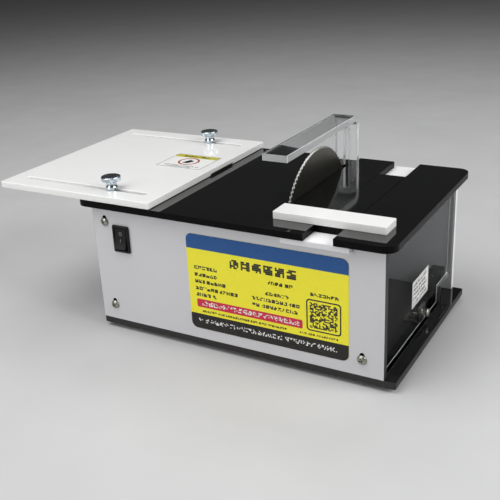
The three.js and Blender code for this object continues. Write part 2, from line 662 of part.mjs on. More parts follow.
function rockerHousing() {
  const w = SWITCH.width / 2;
  const h = SWITCH.height / 2;
  const wellWidth = ROCKER.halfWidth + 0.4;
  const wellHeight = ROCKER.halfHeight + 1;
  const bezel = block(-w, w, -SWITCH.bezel, -0.02, -h, h);
  const body = block(-w + SWITCH.rim, w - SWITCH.rim, -0.5, SWITCH.depth, -h + SWITCH.rim, h - SWITCH.rim);
  const well = block(
    -wellWidth, wellWidth, -SWITCH.bezel - OVER, SWITCH.wellDepth, -wellHeight, wellHeight,
  );
  const { spacing, halfWidth, halfThickness, length } = SWITCH_TAB;
  const tabs = [-spacing, 0, spacing].map((z) => block(
    -halfWidth, halfWidth, SWITCH.depth - OVER, SWITCH.depth + length, z - halfThickness, z + halfThickness,
  ));
  return join(cut(join(bezel, body), well), ...tabs);
}

// The rocker's side profile is symmetrical; it rests tipped, with its upper end pressed in
function rockerButton() {
  const profile = new THREE.Shape();
  const h = ROCKER.halfHeight;
  const { ends, middle, back, backHalfHeight, shoulder } = ROCKER_FACE;
  profile.moveTo(ends, -h);
  profile.lineTo(middle, 0);
  profile.lineTo(ends, h);
  profile.lineTo(shoulder, h);
  profile.lineTo(back, backHalfHeight);
  profile.lineTo(back, -backHalfHeight);
  profile.lineTo(shoulder, -h);
  const body = extrude(profile, -ROCKER.halfWidth, ROCKER.halfWidth);
  return body.applyMatrix4(new THREE.Matrix4().makeBasis(
    new THREE.Vector3(0, 1, 0), new THREE.Vector3(0, 0, 1), new THREE.Vector3(1, 0, 0),
  ));
}

function dcJack() {
  const { radius, pinRadius, floor, flangeThickness, tabX, tabLength } = JACK_SOCKET;
  const outside = SHEET + TOUCH;
  const inside = -JACK.depth;
  const flange = rod('y', JACK.flangeRadius, outside, outside + flangeThickness, 0, 0, 28);
  const barrel = rod('y', JACK.radius, inside, outside + flangeThickness / 2, 0, 0, 28);
  const socket = rod('y', radius, inside + floor, outside + flangeThickness + OVER, 0, 0, 24);
  const pin = rod('y', pinRadius, inside + floor - OVER, outside - OVER, 0, 0, 16);
  const tabs = [-tabX, tabX].map((x) => block(
    x - 0.4, x + 0.4, inside - tabLength, inside + OVER, -1.4, 1.4,
  ));
  return join(cut(join(flange, barrel), socket), pin, ...tabs);
}

function wire(points) {
  const path = new THREE.CatmullRomCurve3(points.map((p) => new THREE.Vector3(...p)));
  const section = new THREE.Shape();
  section.absarc(0, 0, WIRE_RADIUS, 0, 2 * Math.PI, false);
  return new THREE.ExtrudeGeometry(section, { steps: 20, curveSegments: 4, extrudePath: path });
}

function addElectrics() {
  const front = groupAt(SWITCH.x, 0, SWITCH.z);
  add('rocker_housing', rockerHousing(), BLACK_PLASTIC, front);
  const button = add('rocker_button', rockerButton(), BLACK_PLASTIC, front);
  button.position.y = ROCKER.pivotY;
  button.rotation.x = -ROCKER.tilt;
  const back = groupAt(JACK.x, INNER_BACK, JACK.z);
  add('dc_jack', dcJack(), BLACK_PLASTIC, back);
  const nutShape = hexPrism(HEX_JACK.acrossFlats, FIT, FIT + HEX_JACK.height, JACK.radius + 0.15);
  add('dc_jack_nut', nutShape, ZINC, back).rotation.x = Math.PI / 2;
  addWires();
}

// Soldered leads: each starts and ends a little way off its terminal tab
function addWires() {
  const solder = 1.2;
  const tabY = SWITCH.depth + SWITCH_TAB.length + solder;
  const jackY = INNER_BACK - JACK.depth - JACK_SOCKET.tabLength - solder;
  const motorX = MOTOR.faceX - MOTOR.totalLength - 4 - solder;
  const { tabX } = JACK_SOCKET;
  const nearTab = BLADE.y - MOTOR_CAP.tabY;
  const farTab = BLADE.y + MOTOR_CAP.tabY;
  add('lead_jack_to_switch', wire([
    [JACK.x - tabX, jackY, JACK.z], [JACK.x - 6, jackY - 12, JACK.z - 6], [18, 104, 9], [12, 78, 8],
    [14, 44, 20], [SWITCH.x - 2, tabY + 10, 60], [SWITCH.x, tabY, SWITCH.z - SWITCH_TAB.spacing],
  ]), WIRE_RED);
  add('lead_switch_to_motor', wire([
    [SWITCH.x, tabY, SWITCH.z], [SWITCH.x, tabY + 10, SWITCH.z + 2], [26, 50, 78],
    [30, 66, 76], [motorX - 4, nearTab, BLADE.z], [motorX, nearTab, BLADE.z],
  ]), WIRE_RED);
  add('lead_jack_to_motor', wire([
    [JACK.x + tabX, jackY, JACK.z], [JACK.x + 1, jackY - 9, JACK.z + 6], [38, 112, 52],
    [32, 102, 70], [motorX - 4, farTab, BLADE.z], [motorX, farTab, BLADE.z],
  ]), WIRE_BLACK);
}

// ---- Labels ------------------------------------------------------------------------------

function addLabels() {
  const t = LABEL_THICKNESS;
  const { left, right, bottom, top, cornerRadius: r } = FRONT_LABEL;
  add('front_label', plate(left, right, bottom, top, 0, t, [r, r, r, r]).rotateX(Math.PI / 2), LABEL_YELLOW);
  const fence = FENCE_LABEL;
  const fenceFilm = plate(
    fence.left, fence.right, fence.front, fence.back, FENCE_TOP, FENCE_TOP + t, [1, 1, 1, 1],
  );
  add('fence_label', fenceFilm, LABEL_WHITE);
  const cover = COVER_LABEL;
  const coverFilm = block(
    COVER_OUTER, COVER_OUTER + t, cover.front, cover.back, cover.bottom, cover.top,
  );
  add('cover_label', coverFilm, LABEL_WHITE);
}

// ---- Assembly ----------------------------------------------------------------------------

addCase();
addTable();
addPushBar();
addFence();
addGuard();
addDrive();
addElectrics();
addLabels();

const centreX = (FENCE.left + CASE.length + BASE.rightLip) / 2;
const centreY = (FENCE.front + BED.back) / 2;
machine.position.set(-centreX, -centreY, FOOT.height);

const part = new THREE.Group();
part.add(machine);

export default part;
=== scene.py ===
"""Looks of the small acrylic-cased bench saw: sheets with worked edges, hardware, print and studio.
Metres throughout. MM turns a size in millimetres into metres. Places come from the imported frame."""

import math
import random
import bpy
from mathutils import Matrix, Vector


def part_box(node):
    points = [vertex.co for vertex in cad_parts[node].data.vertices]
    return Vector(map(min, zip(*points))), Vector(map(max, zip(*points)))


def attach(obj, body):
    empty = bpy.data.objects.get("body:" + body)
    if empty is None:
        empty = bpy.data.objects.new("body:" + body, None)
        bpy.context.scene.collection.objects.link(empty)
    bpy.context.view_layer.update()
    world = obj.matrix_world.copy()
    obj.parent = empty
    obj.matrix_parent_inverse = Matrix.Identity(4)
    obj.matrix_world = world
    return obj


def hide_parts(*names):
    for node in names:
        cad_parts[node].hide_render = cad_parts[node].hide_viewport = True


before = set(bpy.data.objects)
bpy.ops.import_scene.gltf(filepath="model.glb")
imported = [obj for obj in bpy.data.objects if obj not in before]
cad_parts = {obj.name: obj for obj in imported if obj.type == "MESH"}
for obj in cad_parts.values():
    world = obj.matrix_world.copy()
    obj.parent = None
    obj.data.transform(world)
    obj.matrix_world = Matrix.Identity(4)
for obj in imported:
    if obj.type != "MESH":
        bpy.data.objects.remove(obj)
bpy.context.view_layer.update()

from types import SimpleNamespace

import bmesh
import bpy
from mathutils import Matrix, Vector
from mathutils.geometry import tessellate_polygon

MM = 0.001
TURN = 2 * math.pi
SCENE = bpy.context.scene


# ---- Camera ----

CAMERA_PLACE = (0.31043, -0.51831, 0.29542)
CAMERA_AZIMUTH, CAMERA_ELEVATION, CAMERA_ROLL = 30.77, 22.12, -3.10
CAMERA_LENS, CAMERA_SENSOR = 58.68, 36.0
CAMERA_SHIFT = (0.0188, -0.0115)


def add_camera():
    data = bpy.data.cameras.new("camera")
    data.lens = CAMERA_LENS
    data.sensor_width = CAMERA_SENSOR
    data.shift_x, data.shift_y = CAMERA_SHIFT
    camera = bpy.data.objects.new("camera", data)
    turn = Matrix.Rotation(math.radians(CAMERA_AZIMUTH), 4, "Z")
    tilt = Matrix.Rotation(math.radians(90 - CAMERA_ELEVATION), 4, "X")
    roll = Matrix.Rotation(math.radians(CAMERA_ROLL), 4, "Z")
    camera.matrix_world = Matrix.Translation(CAMERA_PLACE) @ turn @ tilt @ roll
    SCENE.collection.objects.link(camera)
    SCENE.camera = camera


# ---- Outlines ----


def circle(u, v, radius, steps=48):
    angles = [i * TURN / steps for i in range(steps)]
    return [(u + radius * math.cos(t), v + radius * math.sin(t)) for t in angles]


def rounded(corners, steps=8):
    """A closed outline through corners (u, v, radius), each rounded by an arc."""
    points = []
    for i, (u, v, radius) in enumerate(corners):
        here = Vector((u, v))
        if radius <= 0:
            points.append((u, v))
            continue
        before = (Vector(corners[i - 1][:2]) - here).normalized()
        after = (Vector(corners[(i + 1) % len(corners)][:2]) - here).normalized()
        half = before.angle(after) / 2
        middle = here + (before + after).normalized() * (radius / math.sin(half))
        start = here + before * (radius / math.tan(half)) - middle
        sweep = start.angle_signed(here + after * (radius / math.tan(half)) - middle)
        for k in range(steps + 1):
            point = middle + Matrix.Rotation(-sweep * k / steps, 2) @ start
            points.append((point.x, point.y))
    return points


def chamfered(corners):
    """As rounded, with each corner cut straight across. At a right angle, radius comes off each side."""
    return rounded(corners, 1)


def rectangle(u0, u1, v0, v1, radius=0.0, steps=6):
    return rounded([(u0, v0, radius), (u1, v0, radius), (u1, v1, radius), (u0, v1, radius)], steps)


def wound(points, anticlockwise):
    area = sum(a[0] * b[1] - b[0] * a[1] for a, b in zip(points, points[1:] + points[:1]))
    return points if (area > 0) == anticlockwise else points[::-1]


def inset(points, amount):
    """The outline moved by amount towards its left-hand side, which is the material."""
    moved = []
    for i, point in enumerate(points):
        here = Vector(point)
        into = (here - Vector(points[i - 1])).normalized()
        out = (Vector(points[(i + 1) % len(points)]) - here).normalized()
        left = Vector((-into.y, into.x)) + Vector((-out.y, out.x))
        moved.append(here + left * (amount / max(0.3, 1 + into.dot(out))))
    return moved


# ---- Solids ----

PLACED = {
    "x": lambda u, v, w: (w, u, v),
    "y": lambda u, v, w: (u, w, v),
    "z": lambda u, v, w: (u, v, w),
}
FLAT_AXES = {"x": "yz", "y": "xz", "z": "xy"}
SHARP_ANGLE, TURNED_SHARP_ANGLE = 40, 32


def new_object(name, bm, materials, sharp_angle=SHARP_ANGLE):
    bmesh.ops.remove_doubles(bm, verts=bm.verts, dist=1e-7)
    bmesh.ops.recalc_face_normals(bm, faces=bm.faces)
    mesh = bpy.data.meshes.new(name)
    bm.to_mesh(mesh)
    bm.free()
    for material in materials:
        mesh.materials.append(material)
    mesh.polygons.foreach_set("use_smooth", [True] * len(mesh.polygons))
    mesh.set_sharp_from_angle(angle=math.radians(sharp_angle))
    obj = bpy.data.objects.new(name, mesh)
    SCENE.collection.objects.link(obj)
    return obj


def keep_flats_flat(obj):
    normals = obj.modifiers.new("flat_faces", "WEIGHTED_NORMAL")
    normals.keep_sharp = True
    normals.weight = 100


def add_prism(bm, outer, holes, axis, low, high, edge=0.0, edge_steps=3, side_index=0):
    """Adds a flat piece across an axis between two levels, with rounded-over edges."""
    loops = [wound(outer, True), *[wound(hole, False) for hole in holes]]
    levels = [(low, 0.0)]
    if edge > 0:
        angles = [math.pi / 2 * k / edge_steps for k in range(edge_steps + 1)]
        levels = [(low + edge * (1 - math.cos(t)), edge * (1 - math.sin(t))) for t in angles]
    levels += [(low + high - w, amount) for w, amount in reversed(levels)]
    place = PLACED[axis]
    rings = []
    for w, amount in levels:
        rings.append([[bm.verts.new(place(p[0], p[1], w)) for p in inset(loop, amount)] for loop in loops])
    for below, above in zip(rings, rings[1:]):
        for lower, upper in zip(below, above):
            for i in range(len(lower)):
                j = (i + 1) % len(lower)
                face = bm.faces.new((lower[i], lower[j], upper[j], upper[i]))
                face.material_index = side_index
    for ring, (_, amount) in ((rings[0], levels[0]), (rings[-1], levels[-1])):
        flat = [vert for loop in ring for vert in loop]
        corners = [[Vector((p[0], p[1], 0)) for p in inset(loop, amount)] for loop in loops]
        for triangle in tessellate_polygon(corners):
            bm.faces.new([flat[i] for i in triangle])


def plate(name, outer, holes, axis, low, high, edge, materials, edge_steps=3):
    """One such flat piece as an object. A second material takes its edges."""
    bm = bmesh.new()
    add_prism(bm, outer, holes, axis, low, high, edge, edge_steps, min(1, len(materials) - 1))
    bmesh.ops.dissolve_degenerate(bm, edges=bm.edges, dist=1e-8)
    obj = new_object(name, bm, materials)
    if edge > 0:
        keep_flats_flat(obj)
    return obj


def turned(name, profile, axis, centre, materials, steps=64, knurl=None):
    """A solid of revolution. Its profile is (place along the axis, radius) points from axis to axis, or a
    closed ring. knurl = (teeth, depth, from, to) grooves the radius between two places along the axis."""
    bm = bmesh.new()
    place = PLACED[axis]
    u0, v0 = (centre["xyz".index(other)] for other in FLAT_AXES[axis])
    rows = []
    for w, radius in profile:
        if radius <= 1e-9:
            rows.append([bm.verts.new(place(u0, v0, w))])
            continue
        row = []
        for i in range(steps):
            angle = i * TURN / steps
            reach = radius
            if knurl and knurl[2] <= w <= knurl[3]:
                reach -= knurl[1] * (0.5 - 0.5 * math.cos(knurl[0] * angle))
            row.append(bm.verts.new(place(u0 + reach * math.cos(angle), v0 + reach * math.sin(angle), w)))
        rows.append(row)
    closed = len(rows[0]) > 1 and len(rows[-1]) > 1
    pairs = list(zip(rows, rows[1:])) + ([(rows[-1], rows[0])] if closed else [])
    for a, b in pairs:
        for i in range(steps):
            j = (i + 1) % steps
            corners = [a[i % len(a)], a[j % len(a)], b[j % len(b)], b[i % len(b)]]
            unique = list(dict.fromkeys(corners))
            if len(unique) > 2:
                bm.faces.new(unique)
    return new_object(name, bm, materials, TURNED_SHARP_ANGLE)


def cut_away(obj, tools):
    """Cuts the tools from obj and removes them."""
    for tool in tools:
        modifier = obj.modifiers.new("cut", "BOOLEAN")
        modifier.operation = "DIFFERENCE"
        modifier.solver = "EXACT"
        modifier.object = tool
    normals = [m for m in obj.modifiers if m.type == "WEIGHTED_NORMAL"]
    for modifier in normals:
        obj.modifiers.remove(modifier)
    graph = bpy.context.evaluated_depsgraph_get()
    mesh = bpy.data.meshes.new_from_object(obj.evaluated_get(graph), depsgraph=graph)
    obj.modifiers.clear()
    obj.data = mesh
    mesh.set_sharp_from_angle(angle=math.radians(SHARP_ANGLE))
    if normals:
        keep_flats_flat(obj)
    for tool in tools:
        bpy.data.objects.remove(tool)
    return obj


def move(obj, matrix):
    obj.data.transform(matrix)
    return obj


def box(node):
    low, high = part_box(node)
    middle = (low + high) / 2
    return SimpleNamespace(
        x0=low.x, x1=high.x, y0=low.y, y1=high.y, z0=low.z, z1=high.z, cx=middle.x, cy=middle.y, cz=middle.z
    )


def across(node, axis):
    """The two levels of a CAD node's box along an axis."""
    b = box(node)
    return getattr(b, axis + "0"), getattr(b, axis + "1")


def centre_across(node, axis):
    """The middle of a CAD node's box, as seen along an axis."""
    b = box(node)
    return tuple(getattr(b, "c" + other) for other in FLAT_AXES[axis])


def outline_of(node, axis, radius=0.0, steps=6, margin=0.0):
    """The outline of a CAD node's box as seen along an axis, grown by margin."""
    (u0, u1), (v0, v1) = (across(node, flat) for flat in FLAT_AXES[axis])
    return rectangle(u0 - margin, u1 + margin, v0 - margin, v1 + margin, radius, steps)


def settle(obj, body, slot, *nodes):
    """obj rides on a body and stands for CAD nodes, which it hides. slot is not used."""
    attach(obj, body)
    if nodes:
        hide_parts(*nodes)
    return obj


# ---- Materials ----


class Nodes:
    """Builds one material's nodes. Texture places are in millimetres on the piece itself."""

    def __init__(self, name):
        self.material = bpy.data.materials.new(name)
        self.material.use_nodes = True
        self.tree = self.material.node_tree
        self.shader = self.tree.nodes["Principled BSDF"]
        place = self.add("ShaderNodeTexCoord").outputs["Object"]
        self.place = self.vector("SCALE", {0: place, "Scale": 1 / MM})

    def feed(self, socket, value):
        """A socket takes a number, a vector, a colour or another node's output."""
        if isinstance(value, tuple):
            socket.default_value = (*value, 1) if socket.type == "RGBA" else value
        elif isinstance(value, (int, float)):
            socket.default_value = value
        else:
            self.tree.links.new(value, socket)

    def add(self, kind, values=None, **settings):
        node = self.tree.nodes.new(kind)
        for key, value in settings.items():
            setattr(node, key, value)
        for key, value in (values or {}).items():
            self.feed(node.inputs[key], value)
        return node

    def vector(self, operation, values):
        return self.add("ShaderNodeVectorMath", values, operation=operation).outputs[0]

    def stretched(self, scale):
        return self.vector("MULTIPLY", {0: self.place, 1: scale})

    def noise(self, scale, detail=3.0, roughness=0.55, place=None, distortion=0.0):
        values = {"Scale": scale, "Detail": detail, "Roughness": roughness, "Distortion": distortion}
        values["Vector"] = place or self.place
        return self.add("ShaderNodeTexNoise", values).outputs["Fac"]

    def specks(self, spacing, share, size):
        """1 on small round specks in that share of the cells, 0 elsewhere."""
        cells = self.add("ShaderNodeTexVoronoi", {"Scale": 1 / spacing, "Vector": self.place}).outputs
        grey = self.add("ShaderNodeSeparateColor", {0: cells["Color"]}).outputs[0]
        chosen = self.math("LESS_THAN", grey, share)
        near = self.math("LESS_THAN", cells["Distance"], size / spacing)
        return self.math("MULTIPLY", chosen, near)

    def math(self, operation, first, second):
        return self.add("ShaderNodeMath", {0: first, 1: second}, operation=operation).outputs[0]

    def spread(self, value, low, high):
        """Turns the middle of a texture's range into low to high."""
        values = {"Value": value, "From Min": 0.3, "From Max": 0.7, "To Min": low, "To Max": high}
        return self.add("ShaderNodeMapRange", values).outputs[0]

    def mixed(self, factor, low, high):
        return self.add("ShaderNodeMix", {"Factor": factor, 6: low, 7: high}, data_type="RGBA").outputs[2]

    def toned(self, texture, colour, shade):
        return self.mixed(self.spread(texture, 0, 1), colour, shade)

    def bump(self, height, depth):
        """depth is the height of the relief in millimetres."""
        node = self.add("ShaderNodeBump", {"Distance": depth * MM, "Height": height})
        self.feed(self.shader.inputs["Normal"], node.outputs[0])

    def put(self, **sockets):
        for key, value in sockets.items():
            self.feed(self.shader.inputs[key.replace("_", " ")], value)
        return self.material

    def surface(self, texture, colour, shade, gloss, low_rough, high_rough, **sockets):
        """One texture mixes the two tones, and another spreads the roughness."""
        rough = self.spread(gloss, low_rough, high_rough)
        return self.put(Base_Color=self.toned(texture, colour, shade), Roughness=rough, **sockets)


def translucent(share):
    """That share of the light enters the sheet and leaves it nearby."""
    return {"Subsurface_Weight": share, "Subsurface_Radius": (1.0, 1.0, 1.0), "Subsurface_Scale": 3 * MM}


def sheet_face(name, colour, shade, speck, rough, dust, ior=1.49, milky=0.0, coat=0.0):
    """Polished acrylic: faint smears in its gloss, a little dust and a very slight waviness. rough is the
    range of its roughness, dust the share and size of its specks."""
    n = Nodes(name)
    dusty = n.specks(5.5, *dust)
    smear = n.noise(0.045, 5, 0.6, n.stretched((1, 0.45, 0.8)), 0.6)
    n.bump(n.noise(0.35, 2), 0.004)
    return n.put(
        Base_Color=n.mixed(dusty, n.toned(n.noise(0.02, 3), colour, shade), speck),
        Roughness=n.math("MAXIMUM", n.spread(smear, *rough), n.math("MULTIPLY", dusty, 0.6)),
        IOR=ior,
        Coat_Weight=coat,
        Coat_Roughness=0.03,
        Coat_IOR=1.5,
        **translucent(milky),
    )


def sheet_edge(name, colour, shade, low_rough, high_rough, shine=0.5, milky=0.0):
    """A sawn and scraped sheet edge, with fine cutter marks across its thickness."""
    n = Nodes(name)
    marks = n.noise(1.0, 2, 0.5, n.stretched((3.2, 3.2, 0.25)))
    n.bump(marks, 0.02)
    return n.surface(
        marks, colour, shade, n.noise(0.6, 3), low_rough, high_rough,
        IOR=1.49, Specular_IOR_Level=shine, **translucent(milky),
    )


def clear_face(name, tone, ior):
    n = Nodes(name)
    smear = n.noise(0.06, 5, 0.6, n.stretched((1, 0.6, 0.6)), 0.8)
    dusty = n.specks(5.0, 0.25, 0.08)
    n.bump(n.noise(0.04, 2), 0.002)
    return n.put(
        Base_Color=n.mixed(dusty, tone, tuple(0.93 * c for c in tone)),
        Roughness=n.math("MAXIMUM", n.spread(smear, 0.0, 0.02), n.math("MULTIPLY", dusty, 0.3)),
        IOR=ior,
        Transmission_Weight=1.0,
    )


def clear_edge(name, low_rough, high_rough, clearness):
    n = Nodes(name)
    marks = n.noise(1.0, 2, 0.5, n.stretched((2.5, 2.5, 2.5)))
    n.bump(marks, 0.01)
    return n.surface(
        marks, (0.80, 0.82, 0.82), (0.88, 0.90, 0.90), n.noise(0.5, 3), low_rough, high_rough,
        IOR=1.49, Transmission_Weight=clearness,
    )


def ground_steel(centre):
    """Saw steel ground in rings about the arbor, with a faint oily bloom."""
    n = Nodes("blade_steel")
    about = n.vector("SUBTRACT", {0: n.place, 1: tuple(c / MM for c in centre)})
    length = n.add("ShaderNodeVectorMath", {0: about}, operation="LENGTH").outputs["Value"]
    values = {"Scale": 5.0, "Detail": 4, "W": length}
    rings = n.add("ShaderNodeTexNoise", values, noise_dimensions="1D").outputs["Fac"]
    n.bump(rings, 0.0008)
    # Far darker than bare steel: painted reflection of dark surroundings
    colour, shade = (0.21, 0.205, 0.175), (0.175, 0.168, 0.14)
    return n.surface(n.noise(0.05, 4), colour, shade, rings, 0.3, 0.4, Metallic=1.0)


def plated_metal(name, colour, tint, low_rough, high_rough, grain=1.4):
    """Plated metal: tinted passivation in soft patches and a fine tumbled grain."""
    n = Nodes(name)
    n.bump(n.noise(grain, 3), 0.01)
    gloss = n.noise(0.5, 4)
    return n.surface(n.noise(0.12, 3), colour, tint, gloss, low_rough, high_rough, Metallic=1.0)


def moulded(name, colour, shade, low_rough, high_rough, grain, depth, shine=0.5):
    """Moulded plastic or rubber with a spark-eroded grain."""
    n = Nodes(name)
    texture = n.noise(grain, 4)
    n.bump(texture, depth)
    return n.surface(
        texture, colour, shade, n.noise(0.4, 3), low_rough, high_rough, IOR=1.5, Specular_IOR_Level=shine
    )


def printed(name, colour, shade):
    """Gloss-laminated print: slight ink mottle and a faint waviness of the film."""
    n = Nodes(name)
    n.bump(n.noise(0.12, 2), 0.004)
    return n.surface(
        n.noise(1.8, 3), colour, shade, n.noise(0.08, 3), 0.24, 0.34, IOR=1.5, Specular_IOR_Level=0.25
    )


def studio_floor():
    n = Nodes("studio_floor")
    n.bump(n.noise(0.4, 3), 0.01)
    colour, shade = (0.51, 0.51, 0.515), (0.54, 0.54, 0.545)
    return n.surface(n.noise(0.01, 3), colour, shade, n.noise(0.03, 3), 0.55, 0.68)


FINE_DUST, TABLE_DUST = (0.08, 0.05), (0.3, 0.09)
WHITE = [
    sheet_face(
        "white_acrylic_face", (0.82, 0.82, 0.81), (0.80, 0.80, 0.795), (0.64, 0.64, 0.62),
        (0.1, 0.18), FINE_DUST, milky=0.3,
    ),
    sheet_edge("white_acrylic_edge", (0.84, 0.84, 0.82), (0.78, 0.78, 0.76), 0.3, 0.48, milky=0.3),
]
# The slide bed's white acrylic in two copies: a face lighter than the other white pieces is painted light,
# and a darker grey edge is painted shade
BED_PAINTED_LIGHT_AND_SHADE = [
    sheet_face(
        "slide_bed_face_painted_light", (0.87, 0.87, 0.875), (0.85, 0.85, 0.855), (0.66, 0.66, 0.64),
        (0.2, 0.3), FINE_DUST, milky=0.3,
    ),
    sheet_edge("slide_bed_edge_painted_shade", (0.70, 0.69, 0.71), (0.65, 0.64, 0.66), 0.3, 0.48, milky=0.3),
]
# The case panels' face is the white sheet made grey and slightly blue: painted shade
PANEL_WITH_PAINTED_SHADE = [
    sheet_face(
        "panel_face_painted_shade", (0.60, 0.598, 0.615), (0.585, 0.583, 0.603), (0.47, 0.47, 0.47),
        (0.2, 0.26), FINE_DUST,
    ),
    sheet_edge("panel_core", (0.022, 0.022, 0.024), (0.035, 0.035, 0.037), 0.4, 0.6, shine=0.3),
]
BLACK = [
    sheet_face(
        "black_acrylic_face", (0.003, 0.003, 0.0033), (0.0042, 0.0042, 0.0046), (0.03, 0.03, 0.028),
        (0.03, 0.08), TABLE_DUST, ior=1.6, coat=0.25,
    ),
    sheet_edge(
        "black_acrylic_edge", (0.0022, 0.0022, 0.0022), (0.0035, 0.0035, 0.0035), 0.22, 0.36, shine=0.06
    ),
]
BASE_BLACK = [
    BLACK[0],
    sheet_edge("base_edge", (0.015, 0.0135, 0.013), (0.024, 0.022, 0.0205), 0.35, 0.55, shine=0.35),
]
# Pale and nearly opaque on the clear sheets' bevels: a painted glow along their lit edges
ARRIS_PAINTED_GLOW = clear_edge("arris_painted_glow", 0.3, 0.45, 0.1)
COVER = [
    clear_face("cover_face", (0.88, 0.89, 0.89), 1.04),
    clear_edge("cover_edge", 0.08, 0.2, 0.9),
    ARRIS_PAINTED_GLOW,
]
GUARD = [
    clear_edge("guard_edge", 0.12, 0.26, 0.66),
    clear_face("guard_face", (0.955, 0.965, 0.965), 1.49),
    ARRIS_PAINTED_GLOW,
]
ZINC = plated_metal("zinc_plate", (0.42, 0.41, 0.37), (0.33, 0.33, 0.28), 0.28, 0.45)
KNURLED = plated_metal("knurled_zinc", (0.60, 0.66, 0.71), (0.50, 0.58, 0.64), 0.16, 0.3)
TOOTH_STEEL = plated_metal("tooth_steel", (0.36, 0.36, 0.34), (0.28, 0.28, 0.26), 0.34, 0.46, grain=2.0)
MOTOR_STEEL = plated_metal("motor_steel", (0.58, 0.57, 0.55), (0.52, 0.51, 0.49), 0.25, 0.4, grain=0.8)
COPPER_ROTOR = plated_metal("rotor_steel", (0.36, 0.30, 0.26), (0.44, 0.32, 0.22), 0.35, 0.5)
PLASTIC = moulded(
    "black_plastic", (0.004, 0.004, 0.0044), (0.007, 0.007, 0.0074), 0.32, 0.45, 2.2, 0.02, shine=0.22
)
RUBBER = moulded("foot_rubber", (0.02, 0.02, 0.02), (0.035, 0.035, 0.034), 0.65, 0.85, 1.6, 0.05)
LEAD_RED = moulded("lead_red", (0.45, 0.03, 0.025), (0.38, 0.025, 0.02), 0.35, 0.5, 1.2, 0.01)
LEAD_BLACK = moulded("lead_black", (0.02, 0.02, 0.02), (0.03, 0.03, 0.03), 0.35, 0.5, 1.2, 0.01)
INK = {
    ink: printed("print_" + ink, colour, shade)
    for ink, colour, shade in (
        ("yellow", (0.89, 0.81, 0.043), (0.86, 0.78, 0.039)),
        ("blue", (0.021, 0.092, 0.28), (0.019, 0.084, 0.26)),
        ("black", (0.018, 0.018, 0.02), (0.026, 0.026, 0.028)),
        ("footer", (0.024, 0.021, 0.019), (0.019, 0.017, 0.015)),
        ("red", (0.60, 0.03, 0.07), (0.55, 0.027, 0.06)),
        ("white", (0.78, 0.78, 0.76), (0.74, 0.74, 0.72)),
        ("grey", (0.22, 0.22, 0.23), (0.17, 0.17, 0.18)),
        ("olive", (0.50, 0.46, 0.06), (0.46, 0.42, 0.05)),
        ("brown", (0.34, 0.05, 0.04), (0.29, 0.042, 0.034)),
    )
}


# ---- Case ----

SHEET_EDGE = 0.35 * MM
HOLE_M3, HOLE_M4 = 1.65 * MM, 2.2 * MM
ROUND_END = 0.999  # the share of a slot's half width that rounds its ends, just short of a full half circle
SLOT_RISE = 3.3 * MM
BLOCK_CORNERS = ("top_left", "bottom_left", "bottom_right")


def screw_slot(node, radius):
    """A panel's screw hole, run on upwards past the screw's head."""
    b = box(node)
    top = b.cz + SLOT_RISE
    arc = [i * math.pi / 16 for i in range(17)]
    upper = [(b.cx + radius * math.cos(t), top + radius * math.sin(t)) for t in arc]
    lower = [(b.cx - radius * math.cos(t), b.cz - radius * math.sin(t)) for t in arc]
    return upper + lower


def screw_hole(node, axis, radius):
    return circle(*centre_across(node, axis), radius, 32)


def sheet(node, outer, holes, axis, materials, body, slot, edge=SHEET_EDGE):
    low, high = across(node, axis)
    piece = plate(node + "_sheet", outer, holes, axis, low, high, edge, materials)
    return settle(piece, body, slot, node)


def repaint(piece, index, chosen):
    """The faces that are chosen take the material with that index."""
    for face in piece.data.polygons:
        if chosen(face):
            face.material_index = index


def paint_glow_on_arrises(piece, index):
    """The same for the bevels of a sheet that lies across x, which take the pale arris: a painted glow."""
    repaint(piece, index, lambda face: 0.1 < abs(face.normal.x) < 0.95)


def add_case():
    front, rear, bed, can = box("front_panel"), box("rear_panel"), box("slide_bed"), box("motor_can")
    gap, under, rim, thin = 0.3 * MM, 0.1 * MM, 0.9 * MM, 0.15 * MM
    boss_hole, jack_hole = 9 * MM, 4.1 * MM
    holes = [screw_hole("bracket_screw", "z", HOLE_M3)]
    sheet("base_plate", outline_of("base_plate", "z", MM), holes, "z", BASE_BLACK, "case", "black_acrylic")

    def notched(panel):
        """A panel's outline, notched at the top for the slide bed."""
        return [
            (panel.x0, panel.z0), (panel.x1, panel.z0), (panel.x1, panel.z1), (bed.x1 + gap, panel.z1),
            (bed.x1 + gap, bed.z0 - under), (bed.x0 - gap, bed.z0 - under), (bed.x0 - gap, panel.z1),
            (panel.x0, panel.z1),
        ]

    def panel(node, outer, holes, axis, materials=PANEL_WITH_PAINTED_SHADE):
        return sheet(node, outer, holes, axis, materials, "case", "white_faced_sheet", thin)

    opening = outline_of("rocker_housing", "y", margin=-rim)
    front_holes = [screw_slot("front_screw_" + corner, HOLE_M3) for corner in BLOCK_CORNERS]
    panel("front_panel", notched(front), [opening, *front_holes], "y")
    rear_holes = [screw_slot("rear_screw_" + corner, HOLE_M3) for corner in BLOCK_CORNERS]
    rear_holes += [screw_hole("guard_screw_" + level, "y", HOLE_M4) for level in ("upper", "lower")]
    rear_holes.append(circle(*centre_across("dc_jack", "y"), jack_hole))
    piece = panel("rear_panel", notched(rear), rear_holes, "y", [*PANEL_WITH_PAINTED_SHADE, WHITE[1]])
    # Its bare right end, the only one in view, takes the white edge material: a painted highlight
    repaint(piece, 2, lambda face: face.normal.x > 0.9 and face.center.x > rear.x1 - 0.1 * MM)
    panel("left_panel", outline_of("left_panel", "x"), [], "x")
    wall_holes = [circle(can.cy, can.cz, boss_hole)]
    wall_holes += [screw_hole(f"motor_screw_{i}", "x", HOLE_M4) for i in (1, 2)]
    panel("motor_wall", outline_of("motor_wall", "x"), wall_holes, "x")


